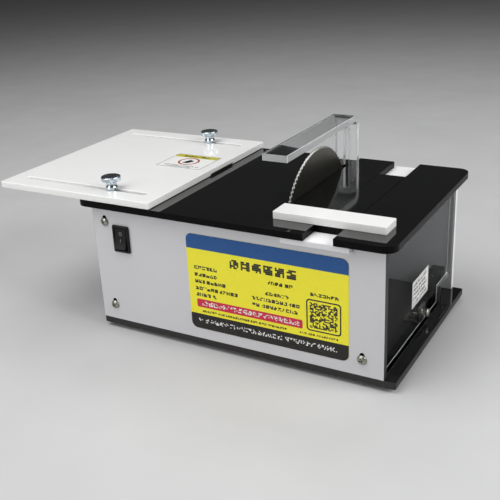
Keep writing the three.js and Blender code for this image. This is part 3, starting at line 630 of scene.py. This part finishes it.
def add_cover():
    """The clear side, with its lower back corner cut away."""
    cover = box("right_cover")
    cut_front, cut_top, skew, arris = cover.y1 - 26.2 * MM, cover.z0 + 14 * MM, 0.01 * MM, 0.4 * MM
    outer = [
        (cover.y0, cover.z0), (cut_front, cover.z0), (cut_front + skew, cut_top),
        (cover.y1, cut_top), (cover.y1, cover.z1), (cover.y0, cover.z1),
    ]
    holes = [screw_hole("cover_screw", "x", HOLE_M3)]
    piece = sheet("right_cover", outer, holes, "x", COVER, "case", "clear_acrylic", arris)
    paint_glow_on_arrises(piece, 2)


def add_corner_blocks():
    corner_radius, edge = 0.8 * MM, 0.6 * MM
    for side in ("front", "rear"):
        for corner in BLOCK_CORNERS:
            node = f"{side}_block_{corner}"
            outer = outline_of(node, "y", corner_radius, 4)
            holes = [screw_hole(f"{side}_screw_{corner}", "y", HOLE_M3)]
            piece = plate(node + "_moulding", outer, holes, "y", *across(node, "y"), edge, [PLASTIC])
            settle(piece, "case", "black_plastic", node)


def add_feet():
    for place in ("front_left", "front_right", "rear_left", "rear_right"):
        node = place + "_foot"
        b = box(node)
        radius, chamfer, round_edge = b.x1 - b.cx, 0.3 * MM, 0.8 * MM
        dimple, dimple_top, dimple_depth = 2.4 * MM, 2.0 * MM, 0.9 * MM
        profile = [(b.z1, 0), (b.z1, radius - chamfer), (b.z1 - chamfer, radius)]
        profile += [
            (b.z0 + round_edge * (1 - math.sin(t)), radius - round_edge * (1 - math.cos(t)))
            for t in [i * math.pi / 8 for i in range(5)]
        ]
        profile += [(b.z0, dimple), (b.z0 + dimple_depth, dimple_top), (b.z0 + dimple_depth, 0)]
        settle(turned(node + "_rubber", profile, "z", (b.cx, b.cy, 0), [RUBBER]), "case", "foot_rubber", node)


# ---- Screws and nuts ----

PITCH_M3, PITCH_M4 = 0.5 * MM, 0.7 * MM
THREAD_ROOT, SCREW_POINT = 0.84, 0.3 * MM
# A pan head's outline, as shares of its height and of its radius
PAN_DOME = [(0, 0), (0.01, 0.25), (0.06, 0.5), (0.16, 0.7), (0.34, 0.87), (0.6, 0.975), (0.85, 1), (1, 0.985)]


def thread(start, step, turns, radius):
    """Profile points of a thread whose turns are step apart, which may be negative. It starts at a root."""
    ends = [(start + i * step, start + (i + 0.5) * step) for i in range(turns)]
    return [point for root, crest in ends for point in ((root, THREAD_ROOT * radius), (crest, radius))]


def pan_head(node, axis, outward, pitch=PITCH_M3):
    """A pan head screw with a cross recess, whose head faces along the axis in that sense."""
    b = box(node)
    low, high = across(node, axis)
    side_low, side_high = across(node, FLAT_AXES[axis][0])
    radius = (side_high - side_low) / 2
    height, shank = 0.65 * radius, 0.47 * radius
    top, end = (high, low) if outward > 0 else (low, high)
    inward = -outward
    profile = [(top + inward * t * height, r * radius) for t, r in PAN_DOME]
    under = top + inward * height
    profile.append((under, shank))
    turns = int(abs(end - under) / pitch) - 1
    profile += thread(under + 0.4 * inward * pitch, inward * pitch, turns, shank)
    profile += [(end - inward * SCREW_POINT, 0.8 * shank), (end, 0.6 * shank), (end, 0)]
    body = turned(node + "_steel", profile, axis, (b.cx, b.cy, b.cz), [ZINC], 40)
    arm, half = 0.56 * radius, 0.12 * radius
    cross = [
        (arm, half), (half, half), (half, arm), (-half, arm), (-half, half), (-arm, half),
        (-arm, -half), (-half, -half), (-half, -arm), (half, -arm), (half, -half), (arm, -half),
    ]
    u0, v0 = centre_across(node, axis)
    turn = math.radians(24)
    cross = [
        (u0 + u * math.cos(turn) - v * math.sin(turn), v0 + u * math.sin(turn) + v * math.cos(turn))
        for u, v in cross
    ]
    levels = sorted((top + outward * MM, top + inward * 0.6 * height))
    recess = plate("recess", cross, [], axis, levels[0], levels[1], 0, [ZINC])
    return cut_away(body, [recess])


def hex_nut(node, axis, bore):
    """A nut turned as its CAD node is: its box is longest from corner to corner."""
    low, high = across(node, axis)
    u0, v0 = centre_across(node, axis)
    width, height = (top - bottom for bottom, top in (across(node, other) for other in FLAT_AXES[axis]))
    corner = max(width, height) / 2
    first = 0.0 if width > height else TURN / 12
    angles = [first + i * TURN / 6 for i in range(6)]
    outer = [(u0 + corner * math.cos(t), v0 + corner * math.sin(t)) for t in angles]
    edge = 0.12 * (high - low)
    return plate(node + "_steel", outer, [circle(u0, v0, bore, 32)], axis, low, high, edge, [ZINC])


def add_fasteners():
    def screw(node, axis, outward, pitch=PITCH_M3):
        settle(pan_head(node, axis, outward, pitch), "case", "zinc_steel", node)

    def nut(node, axis, bore, body="case"):
        settle(hex_nut(node, axis, bore), body, "zinc_steel", node)

    bore_m4, bore_m8 = 2.15 * MM, 4.05 * MM
    for corner in BLOCK_CORNERS:
        screw("front_screw_" + corner, "y", -1)
        screw("rear_screw_" + corner, "y", 1)
    screw("cover_screw", "x", 1)
    screw("bracket_screw", "z", 1)
    for i in (1, 2):
        screw(f"motor_screw_{i}", "x", 1, PITCH_M4)
    for level in ("upper", "lower"):
        screw("guard_screw_" + level, "y", 1, PITCH_M4)
        nut("guard_nut_" + level, "y", bore_m4)
    for side in ("front", "rear"):
        nut(side + "_fence_nut", "z", bore_m4)
    nut("dc_jack_nut", "y", bore_m8)
    nut("arbor_nut", "x", bore_m8, "arbor")


def add_bracket():
    b = box("cover_bracket")
    thickness, bend = 1.5 * MM, 0.7 * MM
    outer = rounded([
        (b.x0, b.z0, 0), (b.x1, b.z0, bend + 0.8 * MM), (b.x1, b.z1, 0), (b.x1 - thickness, b.z1, 0),
        (b.x1 - thickness, b.z0 + thickness, bend), (b.x0, b.z0 + thickness, 0),
    ])
    angle = plate("cover_bracket_angle", outer, [], "y", b.y0, b.y1, 0.15 * MM, [ZINC])
    foot, wall = screw_hole("bracket_screw", "z", HOLE_M3), screw_hole("cover_screw", "x", HOLE_M3)
    past, deep = MM, 2 * thickness
    cutters = [
        plate("cut", foot, [], "z", b.z0 - past, b.z0 + deep, 0, [ZINC]),
        plate("cut", wall, [], "x", b.x1 - deep, b.x1 + past, 0, [ZINC]),
    ]
    settle(cut_away(angle, cutters), "case", "zinc_steel", "cover_bracket")


# ---- Table, slide and push bar ----


def add_table():
    left, right, blade = box("table_left"), box("table_right"), box("saw_blade")
    guard, radius, steps, edge = box("blade_guard"), 9 * MM, 14, 0.25 * MM
    kerf_half, gap, screw_bore = 1.7 * MM, 0.5 * MM, 2.3 * MM
    notch_left, notch_right, notch_front = guard.x0 - gap, guard.x1 + gap, guard.y1 - 5.5 * MM
    outer = rounded([
        (left.x0, left.y0, radius), (left.x1, left.y0, 0), (left.x1, left.y1, 0),
        (notch_right, left.y1, 0), (notch_right, notch_front, 0),
        (notch_left, notch_front, 0), (notch_left, left.y1, 0), (left.x0, left.y1, radius),
    ], steps)
    kerf_front, kerf_back = blade.y0 + 0.3 * MM, blade.y1 - 0.2 * MM
    kerf = rectangle(blade.cx - kerf_half, blade.cx + kerf_half, kerf_front, kerf_back, 0.4 * MM, 4)
    holes = [kerf] + [screw_hole(side + "_thumbscrew", "z", screw_bore) for side in ("front", "rear")]
    sheet("table_left", outer, holes, "z", BLACK, "case", "black_acrylic", edge)
    outer = rounded([
        (right.x0, right.y0, 0), (right.x1, right.y0, radius),
        (right.x1, right.y1, radius), (right.x0, right.y1, 0),
    ], steps)
    sheet("table_right", outer, [], "z", BLACK, "case", "black_acrylic", edge)
    sheet("slide_bed", outline_of("slide_bed", "z"), [], "z", BED_PAINTED_LIGHT_AND_SHADE, "case", "white_acrylic")


def add_pusher():
    """The CAD keeps a clearance round the strip and the bar. Here they run close, down on the table."""
    strip, bar = box("slide_strip"), box("push_bar")
    drop, spread = 0.25 * MM, 0.2 * MM
    outer = rectangle(strip.x0 - spread, strip.x1 + spread, strip.y0, strip.y1)
    piece = plate("slide_strip_sheet", outer, [], "z", strip.z0 - drop, strip.z1 - drop, 0.12 * MM, BLACK)
    settle(piece, "pusher", "black_acrylic", "slide_strip")
    outer = outline_of("push_bar", "z", 0.8 * MM)
    piece = plate("push_bar_sheet", outer, [], "z", bar.z0 - drop, bar.z1, 0.25 * MM, WHITE)
    settle(piece, "pusher", "white_acrylic", "push_bar")


# ---- Fence plate and thumbscrews ----


def add_fence():
    b = box("fence_plate")
    half, margin = 2.2 * MM, 12.5 * MM
    slots = []
    for side in ("front", "rear"):
        y = box(side + "_thumbscrew").cy
        slots.append(rectangle(b.x0 + margin, b.x1 - margin, y - half, y + half, ROUND_END * half, 10))
    outer = outline_of("fence_plate", "z", 1.5 * MM)
    piece = plate("fence_plate_sheet", outer, slots, "z", b.z0, b.z1, 0.5 * MM, WHITE)
    depth, height, front, back = 7 * MM, 1.5 * MM, b.y0 + 84 * MM, b.y0 + 118 * MM
    outer = rectangle(b.x1 - depth, b.x1 + MM, front, back)
    rebate = plate("rebate", outer, [], "z", b.z0 - MM, b.z0 + height, 0, [WHITE[1]])
    settle(cut_away(piece, [rebate]), "fence", "white_acrylic", "fence_plate")


def add_thumbscrews():
    foot, neck, shank = 4.4 * MM, 3.8 * MM, 1.95 * MM
    shoulder, grip, sweep_steps = 0.9 * MM, 3.0 * MM, 8
    for side in ("front", "rear"):
        node = side + "_thumbscrew"
        b = box(node)
        radius, top, seat = b.x1 - b.cx, b.z1, b.z1 - 10 * MM
        grip_low, grip_high = top - grip, top - shoulder
        # The top is dished, inside a rounded shoulder and the knurled grip
        profile = [(top - 0.2 * MM, 0), (top - 0.17 * MM, 2 * MM), (top - 0.06 * MM, 3.6 * MM)]
        for t in (0, 0.3, 0.6, 0.9, 1.2):
            profile.append((top - shoulder * (1 - math.cos(t)), radius - shoulder * (1 - math.sin(t))))
        profile += [(grip_high, radius), (grip_high - 0.05 * MM, radius), (grip_low, radius)]
        # The underside sweeps in to the neck, and flares again at the foot
        flare = radius - 0.5 * MM - neck
        for i in range(sweep_steps + 1):
            rise = math.sin(i / sweep_steps * math.pi / 2)
            profile.append((grip_low - 0.35 * MM - 1.2 * MM * rise, neck + flare * (1 - rise) ** 1.6))
        profile += [
            (seat + 3.6 * MM, neck), (seat + 3.1 * MM, neck + 0.2 * MM), (seat + 2.5 * MM, foot - 0.35 * MM),
            (seat + 2.0 * MM, foot), (seat + 0.3 * MM, foot), (seat, foot - 0.3 * MM), (seat, shank),
        ]
        turns = int((seat - b.z0) / PITCH_M4) - 1
        profile += thread(seat - PITCH_M4 / 2, -PITCH_M4, turns, shank)
        profile += [(b.z0 + SCREW_POINT, 0.8 * shank), (b.z0, 0.6 * shank), (b.z0, 0)]
        knurl = (54, 0.16 * MM, grip_low - 0.01 * MM, grip_high + 0.01 * MM)
        piece = turned(node + "_turned", profile, "z", (b.cx, b.cy, 0), [KNURLED], 216, knurl)
        settle(piece, side + "_clamp", "knurled_zinc", node)


# ---- Guard ----


def add_guard():
    b = box("blade_guard")
    thickness, inner = 5 * MM, 3.5 * MM
    outer = rounded([
        (b.y0, b.z1 - thickness, 0), (b.y1 - thickness, b.z1 - thickness, inner), (b.y1 - thickness, b.z0, 0),
        (b.y1, b.z0, 0), (b.y1, b.z1, inner + thickness), (b.y0, b.z1, 0),
    ], 14)
    piece = plate("blade_guard_strip", outer, [], "x", b.x0, b.x1, 0.35 * MM, GUARD)
    half = 2.15 * MM
    slot = rectangle(b.cx - half, b.cx + half, b.z0 + 8 * MM, b.z1 - 11.3 * MM, ROUND_END * half, 10)
    cutter = plate("slot", slot, [], "y", b.y1 - thickness - MM, b.y1 + MM, 0, [GUARD[0]])
    cut_away(piece, [cutter])
    # The strip's two ends are sawn edges like its sides
    end = 0.4 * MM
    repaint(piece, 0, lambda face: face.center.y < b.y0 + end or face.center.z < b.z0 + end)
    paint_glow_on_arrises(piece, 2)
    settle(piece, "guard", "clear_acrylic", "blade_guard")


# ---- Blade, arbor and motor ----

# A tooth's outline: the share of the tooth's pitch, and the drop below the tip in millimetres
TOOTH = [(0.0, 0.0), (0.1, 0.04), (0.38, 0.55), (0.68, 1.25), (0.86, 1.68), (0.97, 1.55)]


def add_blade():
    b = box("saw_blade")
    radius, teeth, bore, bevel = b.z1 - b.cz, 100, 10.2 * MM, 0.25 * MM
    outer = []
    for i in range(teeth):
        for share, drop in TOOTH:
            angle = (i + share) * TURN / teeth
            reach = radius - drop * MM
            outer.append((b.cy + reach * math.cos(angle), b.cz + reach * math.sin(angle)))
    hole = circle(b.cy, b.cz, bore, 64)
    steel = [ground_steel((b.cx, b.cy, b.cz)), TOOTH_STEEL]
    piece = plate("saw_blade_disc", outer, [hole], "x", b.x0, b.x1, bevel, steel, 1)
    settle(piece, "arbor", "blade_steel", "saw_blade")


def add_arbor():
    blade, hub, flange = box("saw_blade"), box("arbor_hub"), box("outer_flange")
    shaft, rotor = box("motor_shaft"), box("motor_rotor")
    shaft_radius, bore, plate_radius = 2.45 * MM, 2.55 * MM, 12.5 * MM

    def turned_part(node, made, profile, material, slot):
        piece = turned(f"{node}_{made}", profile, "x", (0, blade.cy, blade.cz), [material])
        settle(piece, "arbor", slot, node)

    body, spigot, crest, pitch = 7 * MM, 10.05 * MM, 3.9 * MM, 1.0 * MM
    root = 0.86 * crest
    seat, spigot_end = blade.x0 - 0.05 * MM, blade.x1 - 0.1 * MM
    flange_start, thread_start = seat - 4.95 * MM, blade.x1 + 0.2 * MM
    profile = chamfered([
        (hub.x0, bore, 0), (hub.x0, body, 0.4 * MM), (flange_start, body, 0.5 * MM),
        (flange_start, plate_radius, 0.6 * MM), (seat, plate_radius, 0.2 * MM), (seat, spigot, 0),
        (spigot_end, spigot, 0), (spigot_end, root, 0),
    ])
    for i in range(int((hub.x1 - thread_start) / pitch) - 1):
        profile += [(thread_start + (i + 0.5) * pitch, crest), (thread_start + (i + 1) * pitch, root)]
    profile += [(hub.x1 - 0.6 * MM, crest), (hub.x1, crest - 0.6 * MM), (hub.x1, 0)]
    profile += [(shaft.x1 + MM, 0), (shaft.x1 + MM, bore)]
    turned_part("arbor_hub", "turned", profile, ZINC, "zinc_steel")
    inside = 4.05 * MM
    profile = [
        (flange.x0, inside), (flange.x0, plate_radius - 0.2 * MM), (flange.x0 + 0.2 * MM, plate_radius),
        (flange.x1 - 1.2 * MM, plate_radius), (flange.x1 - 0.9 * MM, plate_radius - 0.3 * MM),
        (flange.x1, plate_radius - 2.4 * MM), (flange.x1, inside),
    ]
    turned_part("outer_flange", "turned", profile, ZINC, "zinc_steel")
    profile = chamfered([
        (shaft.x0, 0, 0), (shaft.x0, shaft_radius, 0.3 * MM),
        (shaft.x1, shaft_radius, 0.4 * MM), (shaft.x1, 0, 0),
    ])
    turned_part("motor_shaft", "turned", profile, MOTOR_STEEL, "motor_steel")
    core, commutator, core_start = 15 * MM, 8 * MM, rotor.x0 + 6 * MM
    profile = chamfered([
        (rotor.x0, bore, 0), (rotor.x0, commutator, 0.3 * MM), (core_start, commutator, 0),
        (core_start, core, 0.6 * MM), (rotor.x1, core, 0.6 * MM), (rotor.x1, bore, 0),
    ])
    turned_part("motor_rotor", "core", profile, COPPER_ROTOR, "motor_steel")


def add_tabs(name, places, half_width, half_height, axis, low, high):
    """Flat solder tabs, one about each place, as seen along the axis."""
    for i, (u, v) in enumerate(places, 1):
        outline = rectangle(u - half_width, u + half_width, v - half_height, v + half_height)
        tab = plate(f"{name}_tab_{i}", outline, [], axis, low, high, 0.12 * MM, [ZINC])
        settle(tab, "case", "zinc_steel")


def add_motor():
    can, cap = box("motor_can"), box("motor_end_cap")
    centre = (0, can.cy, can.cz)
    radius, wall, boss, bore = can.y1 - can.cy, 1.8 * MM, 8.7 * MM, 2.6 * MM
    face, groove, dent = can.x1 - 4.5 * MM, can.x0 + 6 * MM, 0.4 * MM
    inner_face = face - 3 * MM
    profile = [
        (can.x0, radius - wall), (can.x0, radius - 0.2 * MM), (can.x0 + 0.2 * MM, radius),
        (groove, radius), (groove + 0.3 * MM, radius - dent), (groove + 1.3 * MM, radius - dent),
        (groove + 1.6 * MM, radius), (face - 1.5 * MM, radius), (face - 0.45 * MM, radius - 0.45 * MM),
        (face, radius - 1.5 * MM), (face, boss + 0.3 * MM), (face + 0.3 * MM, boss),
        (can.x1 - 0.4 * MM, boss), (can.x1, boss - 0.4 * MM), (can.x1, bore),
        (inner_face, bore), (inner_face, radius - wall),
    ]
    piece = turned("motor_can_drawn", profile, "x", centre, [MOTOR_STEEL], 72)
    tapped = 1.98 * MM
    cutters = []
    for i in (1, 2):
        hole = circle(*centre_across(f"motor_screw_{i}", "x"), tapped, 24)
        cutters.append(plate("cut", hole, [], "x", inner_face - MM, face + MM, 0, [MOTOR_STEEL]))
    settle(cut_away(piece, cutters), "case", "motor_steel", "motor_can")
    housing, cap_face, plug, bearing = 8 * MM, 17 * MM, 19 * MM, 2.65 * MM
    back, rim = can.x0 - 8.7 * MM, can.x0 - 0.1 * MM
    shelf, plug_end = back + 4 * MM, rim + 2.1 * MM
    profile = [
        (back, 0), (back, housing - 0.4 * MM), (back + 0.4 * MM, housing), (shelf - 0.4 * MM, housing),
        (shelf, housing + 0.4 * MM), (shelf, cap_face), (shelf + 1.5 * MM, radius - MM),
        (rim, radius - MM), (rim, plug), (plug_end, plug), (plug_end, 0),
    ]
    piece = turned("motor_end_cap_moulded", profile, "x", centre, [PLASTIC], 72)
    hole = circle(can.cy, can.cz, bearing, 32)
    piece = cut_away(piece, [plate("cut", hole, [], "x", back + 2 * MM, rim + 4 * MM, 0, [PLASTIC])])
    settle(piece, "case", "black_plastic", "motor_end_cap")
    reach = 12 * MM
    places = [(can.cy + side * reach, can.cz) for side in (-1, 1)]
    add_tabs("motor", places, 2.4 * MM, 0.4 * MM, "x", cap.x0, shelf)


# ---- Switch, socket and leads ----

ROCKER_TILT = math.radians(9)


def add_switch():
    b = box("rocker_housing")
    rim, width, height = 1.1 * MM, 5.4 * MM, 8.8 * MM
    bezel_back = b.y0 + 1.78 * MM
    floor, back = bezel_back + 9 * MM, bezel_back + 15 * MM
    outer = outline_of("rocker_housing", "y", MM)
    well = rectangle(b.cx - width, b.cx + width, b.cz - height, b.cz + height, 0.5 * MM)
    shell = outline_of("rocker_housing", "y", margin=-rim)
    bezel = plate("rocker_bezel", outer, [well], "y", b.y0, bezel_back, 0.45 * MM, [PLASTIC])
    settle(bezel, "case", "black_plastic", "rocker_housing")
    settle(plate("rocker_body", shell, [well], "y", bezel_back, floor, 0, [PLASTIC]), "case", "black_plastic")
    settle(plate("rocker_floor", shell, [], "y", floor, back, 0.3 * MM, [PLASTIC]), "case", "black_plastic")
    places = [(b.cx, b.cz + z * MM) for z in (-5, 0, 5)]
    add_tabs("switch", places, 2.4 * MM, 0.4 * MM, "y", back, b.y1)
    add_rocker(Vector((b.cx, bezel_back + 2.22 * MM, b.cz)))


def add_rocker(pivot):
    """The rocker is drawn level about its pivot and then tipped, with its upper end pressed in."""
    button = box("rocker_button")
    half, dish, back = 7.8 * MM, 1.1 * MM, 3.2 * MM
    tip = Matrix.Translation(pivot) @ Matrix.Rotation(-ROCKER_TILT, 4, "X") @ Matrix.Translation(-pivot)

    def on_face(z):
        return pivot.y - 4.1 * MM - dish * (z / half) ** 2

    heights = [-half + 2 * half * i / 16 for i in range(17)]
    outline = [(on_face(z), pivot.z + z) for z in heights]
    outline += [
        (pivot.y - 2.6 * MM, pivot.z + half), (pivot.y + back, pivot.z + 3 * MM),
        (pivot.y + back, pivot.z - 3 * MM), (pivot.y - 2.6 * MM, pivot.z - half),
    ]
    rocker = plate("rocker_cap", outline, [], "x", button.x0, button.x1, 0.4 * MM, [PLASTIC])
    settle(move(rocker, tip), "rocker", "black_plastic", "rocker_button")

    def mark_on_face(name, outline, holes):
        """A raised mark, bent to the dished face before it is tipped with the button."""
        mark = plate(name, outline, holes, "y", -0.04 * MM, 0.08 * MM, 0, [INK["grey"]])
        for vertex in mark.data.vertices:
            vertex.co.y += on_face(vertex.co.z - pivot.z)
        settle(move(mark, tip), "rocker", "label_paper")

    ring_z, bar_z, half_bar = pivot.z + 3.6 * MM, pivot.z - 1.6 * MM, 0.25 * MM
    ring, hole = circle(pivot.x, ring_z, 1.4 * MM, 40), circle(pivot.x, ring_z, 0.95 * MM, 40)
    mark_on_face("rocker_ring_mark", ring, [hole])
    heights = [bar_z + i * 0.3 * MM for i in range(-4, 5)]
    bar = [(pivot.x - half_bar, z) for z in heights] + [(pivot.x + half_bar, z) for z in heights[::-1]]
    mark_on_face("rocker_bar_mark", bar, [])


def add_jack():
    b = box("dc_jack")
    centre = (b.cx, 0, b.cz)
    flange, barrel, socket, pin = 6 * MM, 3.9 * MM, 2.9 * MM, MM
    face, inner = b.y1 - 1.4 * MM, b.y0 + 5 * MM
    floor = inner + 4 * MM
    profile = chamfered([
        (inner, 0, 0), (inner, barrel, 0.3 * MM), (face, barrel, 0), (face, flange, 0.2 * MM),
        (b.y1, flange, 0.4 * MM), (b.y1, socket, 0.4 * MM), (floor, socket, 0), (floor, 0, 0),
    ])
    body = turned("dc_jack_moulded", profile, "y", centre, [PLASTIC], 48)
    settle(body, "case", "black_plastic", "dc_jack")
    profile = [(floor, 0), (floor, pin), (face - 1.4 * MM, pin), (face - MM, pin * 0.6), (face - MM, 0)]
    settle(turned("dc_jack_pin", profile, "y", centre, [ZINC], 24), "case", "zinc_steel")
    places = [(b.cx + side * 1.8 * MM, b.cz) for side in (-1, 1)]
    add_tabs("jack", places, 0.4 * MM, 1.4 * MM, "y", b.y0, inner)


def smooth_leads():
    """The leads keep their CAD solids, welded and subdivided into round insulation."""
    leads = {"jack_to_switch": LEAD_RED, "switch_to_motor": LEAD_RED, "jack_to_motor": LEAD_BLACK}
    for route, material in leads.items():
        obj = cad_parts["lead_" + route]
        obj.modifiers.new("weld", "WELD").merge_threshold = 1e-6
        obj.modifiers.new("round", "SUBSURF").render_levels = 2
        obj.data.polygons.foreach_set("use_smooth", [True] * len(obj.data.polygons))
        for slot in obj.material_slots:
            slot.material = material


# ---- Labels ----

FILM_EDGE = 0.06 * MM
INK_STEP = 0.02 * MM


class Label:
    """Print on a film. Shapes are placed in millimetres from the label's lower left corner."""

    def __init__(self, node, axis, outward, body, slot):
        self.node, self.axis, self.outward, self.body, self.slot = node, axis, outward, body, slot
        (self.u0, self.u1), (self.v0, self.v1) = (across(node, flat) for flat in FLAT_AXES[axis])
        self.width, self.height = (self.u1 - self.u0) / MM, (self.v1 - self.v0) / MM
        low, high = across(node, axis)
        self.face, self.back = (high, low) if outward > 0 else (low, high)
        self.face -= outward * 3 * INK_STEP

    def film(self, radius, ink):
        outline = outline_of(self.node, self.axis, radius * MM, 10)
        low, high = sorted((self.face, self.back))
        piece = plate(self.node + "_film", outline, [], self.axis, low, high, FILM_EDGE, [INK[ink]])
        settle(piece, self.body, self.slot, self.node)

    def ink(self, name, shapes, ink, level=1):
        """shapes are outlines, or (outline, hole) pairs, printed as one piece."""
        bm = bmesh.new()
        low, high = sorted((self.face, self.face + self.outward * level * INK_STEP))
        for shape in shapes:
            loops = shape if isinstance(shape, tuple) else (shape,)
            outer, *holes = [[(self.u0 + u * MM, self.v0 + v * MM) for u, v in loop] for loop in loops]
            add_prism(bm, outer, holes, self.axis, low, high)
        piece = new_object(f"{self.node}_{name}", bm, [INK[ink]])
        settle(piece, self.body, self.slot)


def blocks(picks, u0, u1, v0, v1, columns, rows, share):
    """A plain field of small cells, some left out. Neighbours in a row are printed as one bar."""
    step_u, step_v = (u1 - u0) / columns, (v1 - v0) / rows
    bars = []
    for j in range(rows):
        low, high = v0 + (j + 0.03) * step_v, v0 + (j + 0.97) * step_v
        start = None
        for i in range(columns + 1):
            inked = i < columns and picks.random() < share
            if inked and start is None:
                start = i
            if not inked and start is not None:
                bars.append(rectangle(u0 + start * step_u, u0 + i * step_u - 0.03 * step_u, low, high))
                start = None
    return bars


def word_blocks(seed, u0, u1, v, height, cells=3, share=0.72, break_share=0.12):
    """A line of plain blocks with a break here and there, standing for a line of print."""
    picks = random.Random(seed)
    bars, u = [], u0
    while u + height <= u1 + 0.1:
        bars += blocks(picks, u, u + height, v - height / 2, v + height / 2, cells, cells, share)
        u += height * (1.75 if picks.random() < break_share else 1.18)
    return bars


def add_front_label():
    label = Label("front_label", "y", -1, "case", "label_print")
    w, h, r = label.width, label.height, 5
    label.film(r, "yellow")
    band, foot = 62.8, 12.0
    label.ink("band", [rounded([(0, band, 0), (w, band, 0), (w, h, r), (0, h, r)], 10)], "blue")
    label.ink("foot", [rounded([(0, 0, r), (w, 0, r), (w, foot, 0), (0, foot, 0)], 10)], "footer")
    picks = random.Random(40)
    title = []
    for i in range(6):
        u = 35 + i * 8.75
        title += blocks(picks, u, u + 7.0, 52.5, 59.3, 5, 5, 0.84)
    label.ink("title", title, "black")
    lines = []
    left = ((48.6, 26.5), (43.1, 25.0), (37.9, 31.5), (32.5, 43.0), (27.5, 26.5))
    for i, (v, end) in enumerate(left):
        lines += word_blocks(10 + i, 5.5, end, v, 2.7)
    middle = ((47, 63.5, 83.6), (38.6, 62, 82), (33.5, 51.4, 88.8), (28.5, 51.4, 87.6))
    for i, (v, start, end) in enumerate(middle):
        lines += word_blocks(20 + i, start, end, v, 2.6)
    lines += word_blocks(30, 95.8, 116.8, 44.6, 2.5)
    lines += word_blocks(31, 10, 78, 14.6, 1.7)
    lines += word_blocks(32, 87.4, 116.7, 14.6, 1.5)
    label.ink("lines", lines, "black")
    label.ink("strip", [rectangle(5.8, 89.7, 17.5, 24.0, 1.2)], "red")
    strip_words = word_blocks(33, 7.6, 88.0, 20.8, 3.4, 4, share=0.42, break_share=0.1)
    label.ink("strip_words", strip_words, "white", 2)
    foot_words = word_blocks(34, 6.3, 117.3, 6.8, 3.3, 4, share=0.4, break_share=0.1)
    label.ink("foot_words", foot_words, "white", 2)
    frame_outline = rectangle(92.6, 117.8, 17.4, 41.0, 2.6, 8)
    frame_hole = rectangle(93.6, 116.8, 18.4, 40.0, 1.8, 8)
    label.ink("pattern_frame", [(frame_outline, frame_hole)], "black")
    label.ink("pattern", blocks(random.Random(7), 95.2, 115.2, 19.8, 38.6, 21, 20, 0.56), "black")


def add_fence_label():
    label = Label("fence_label", "z", 1, "fence", "label_paper")
    w, h = label.width, label.height
    label.film(1, "white")
    border = (rectangle(0.5, w - 0.5, 0.5, h - 0.5, 0.7), rectangle(1.1, w - 1.1, 1.1, h - 1.1, 0.4))
    label.ink("border", [border], "grey")
    label.ink("strip", [rectangle(1.1, w - 1.1, h - 8.2, h - 1.1, 0.3)], "olive", 2)
    label.ink("strip_words", word_blocks(51, 8, w - 8, h - 4.6, 3.6, 3), "black", 3)
    middle, corner = w / 2, 0.9
    label.ink("ring", [(circle(middle, 18.0, 9.0, 64), circle(middle, 18.0, 7.4, 64))], "brown")
    wedge = ((-4.2, 13.6), (1.4, 13.6), (4.2, 19.8), (-0.8, 22.6))
    label.ink("ring_mark", [rounded([(middle + u, v, corner) for u, v in wedge])], "black")
    label.ink("words", word_blocks(52, 5, w - 5, 6.0, 2.2) + word_blocks(53, 8, w - 9, 3.0, 1.6), "grey")


def add_cover_label():
    label = Label("cover_label", "x", 1, "case", "label_paper")
    label.film(0.4, "white")
    w, h = label.width, label.height
    border = (rectangle(0.6, w - 0.6, 0.6, h - 0.6, 0.5), rectangle(1, w - 1, 1, h - 1, 0.3))
    label.ink("border", [border], "grey")
    lines = []
    for i in range(5):
        lines += word_blocks(60 + i, 2.5, w - (3 + 4 * (i % 2)), h - 3.4 - 3.4 * i, 2.1)
    label.ink("lines", lines, "black")


# ---- Studio ----


def area_light(name, place, aim, width, height, power):
    data = bpy.data.lights.new(name, "AREA")
    data.shape = "RECTANGLE"
    data.size, data.size_y = width, height
    data.energy = power
    lamp = bpy.data.objects.new(name, data)
    lamp.location = place
    lamp.rotation_mode = "QUATERNION"
    lamp.rotation_quaternion = (Vector(aim) - Vector(place)).to_track_quat("-Z", "Y")
    SCENE.collection.objects.link(lamp)


def add_studio():
    bm = bmesh.new()
    reach, level = 4.0, -0.0003
    corners = [(-reach, -reach), (reach, -reach), (reach, reach), (-reach, reach)]
    bm.faces.new([bm.verts.new((x, y, level)) for x, y in corners])
    floor = new_object("studio_floor", bm, [studio_floor()])
    world = bpy.data.worlds.new("studio")
    world.use_nodes = True
    world.node_tree.nodes["Background"].inputs["Color"].default_value = (0.97, 0.985, 1.0, 1)
    world.node_tree.nodes["Background"].inputs["Strength"].default_value = 0.042
    SCENE.world = world
    aim = (0.0, 0.0, 0.08)
    area_light("key", (-0.3, -0.45, 1.15), aim, 1.0, 1.0, 11.3)
    area_light("fill", (-0.5, -1.2, 0.55), aim, 0.9, 0.7, 6.4)
    area_light("side", (1.1, 0.02, 0.75), aim, 0.8, 0.7, 12.5)
    area_light("back", (-0.15, 0.75, 1.2), aim, 0.9, 0.5, 4)
    SCENE.view_settings.view_transform = "Standard"


# ---- Scene ----

add_camera()
add_case()
add_cover()
add_corner_blocks()
add_feet()
add_fasteners()
add_bracket()
add_table()
add_pusher()
add_fence()
add_thumbscrews()
add_guard()
add_blade()
add_arbor()
add_motor()
add_switch()
add_jack()
smooth_leads()
add_front_label()
add_fence_label()
add_cover_label()
add_studio()
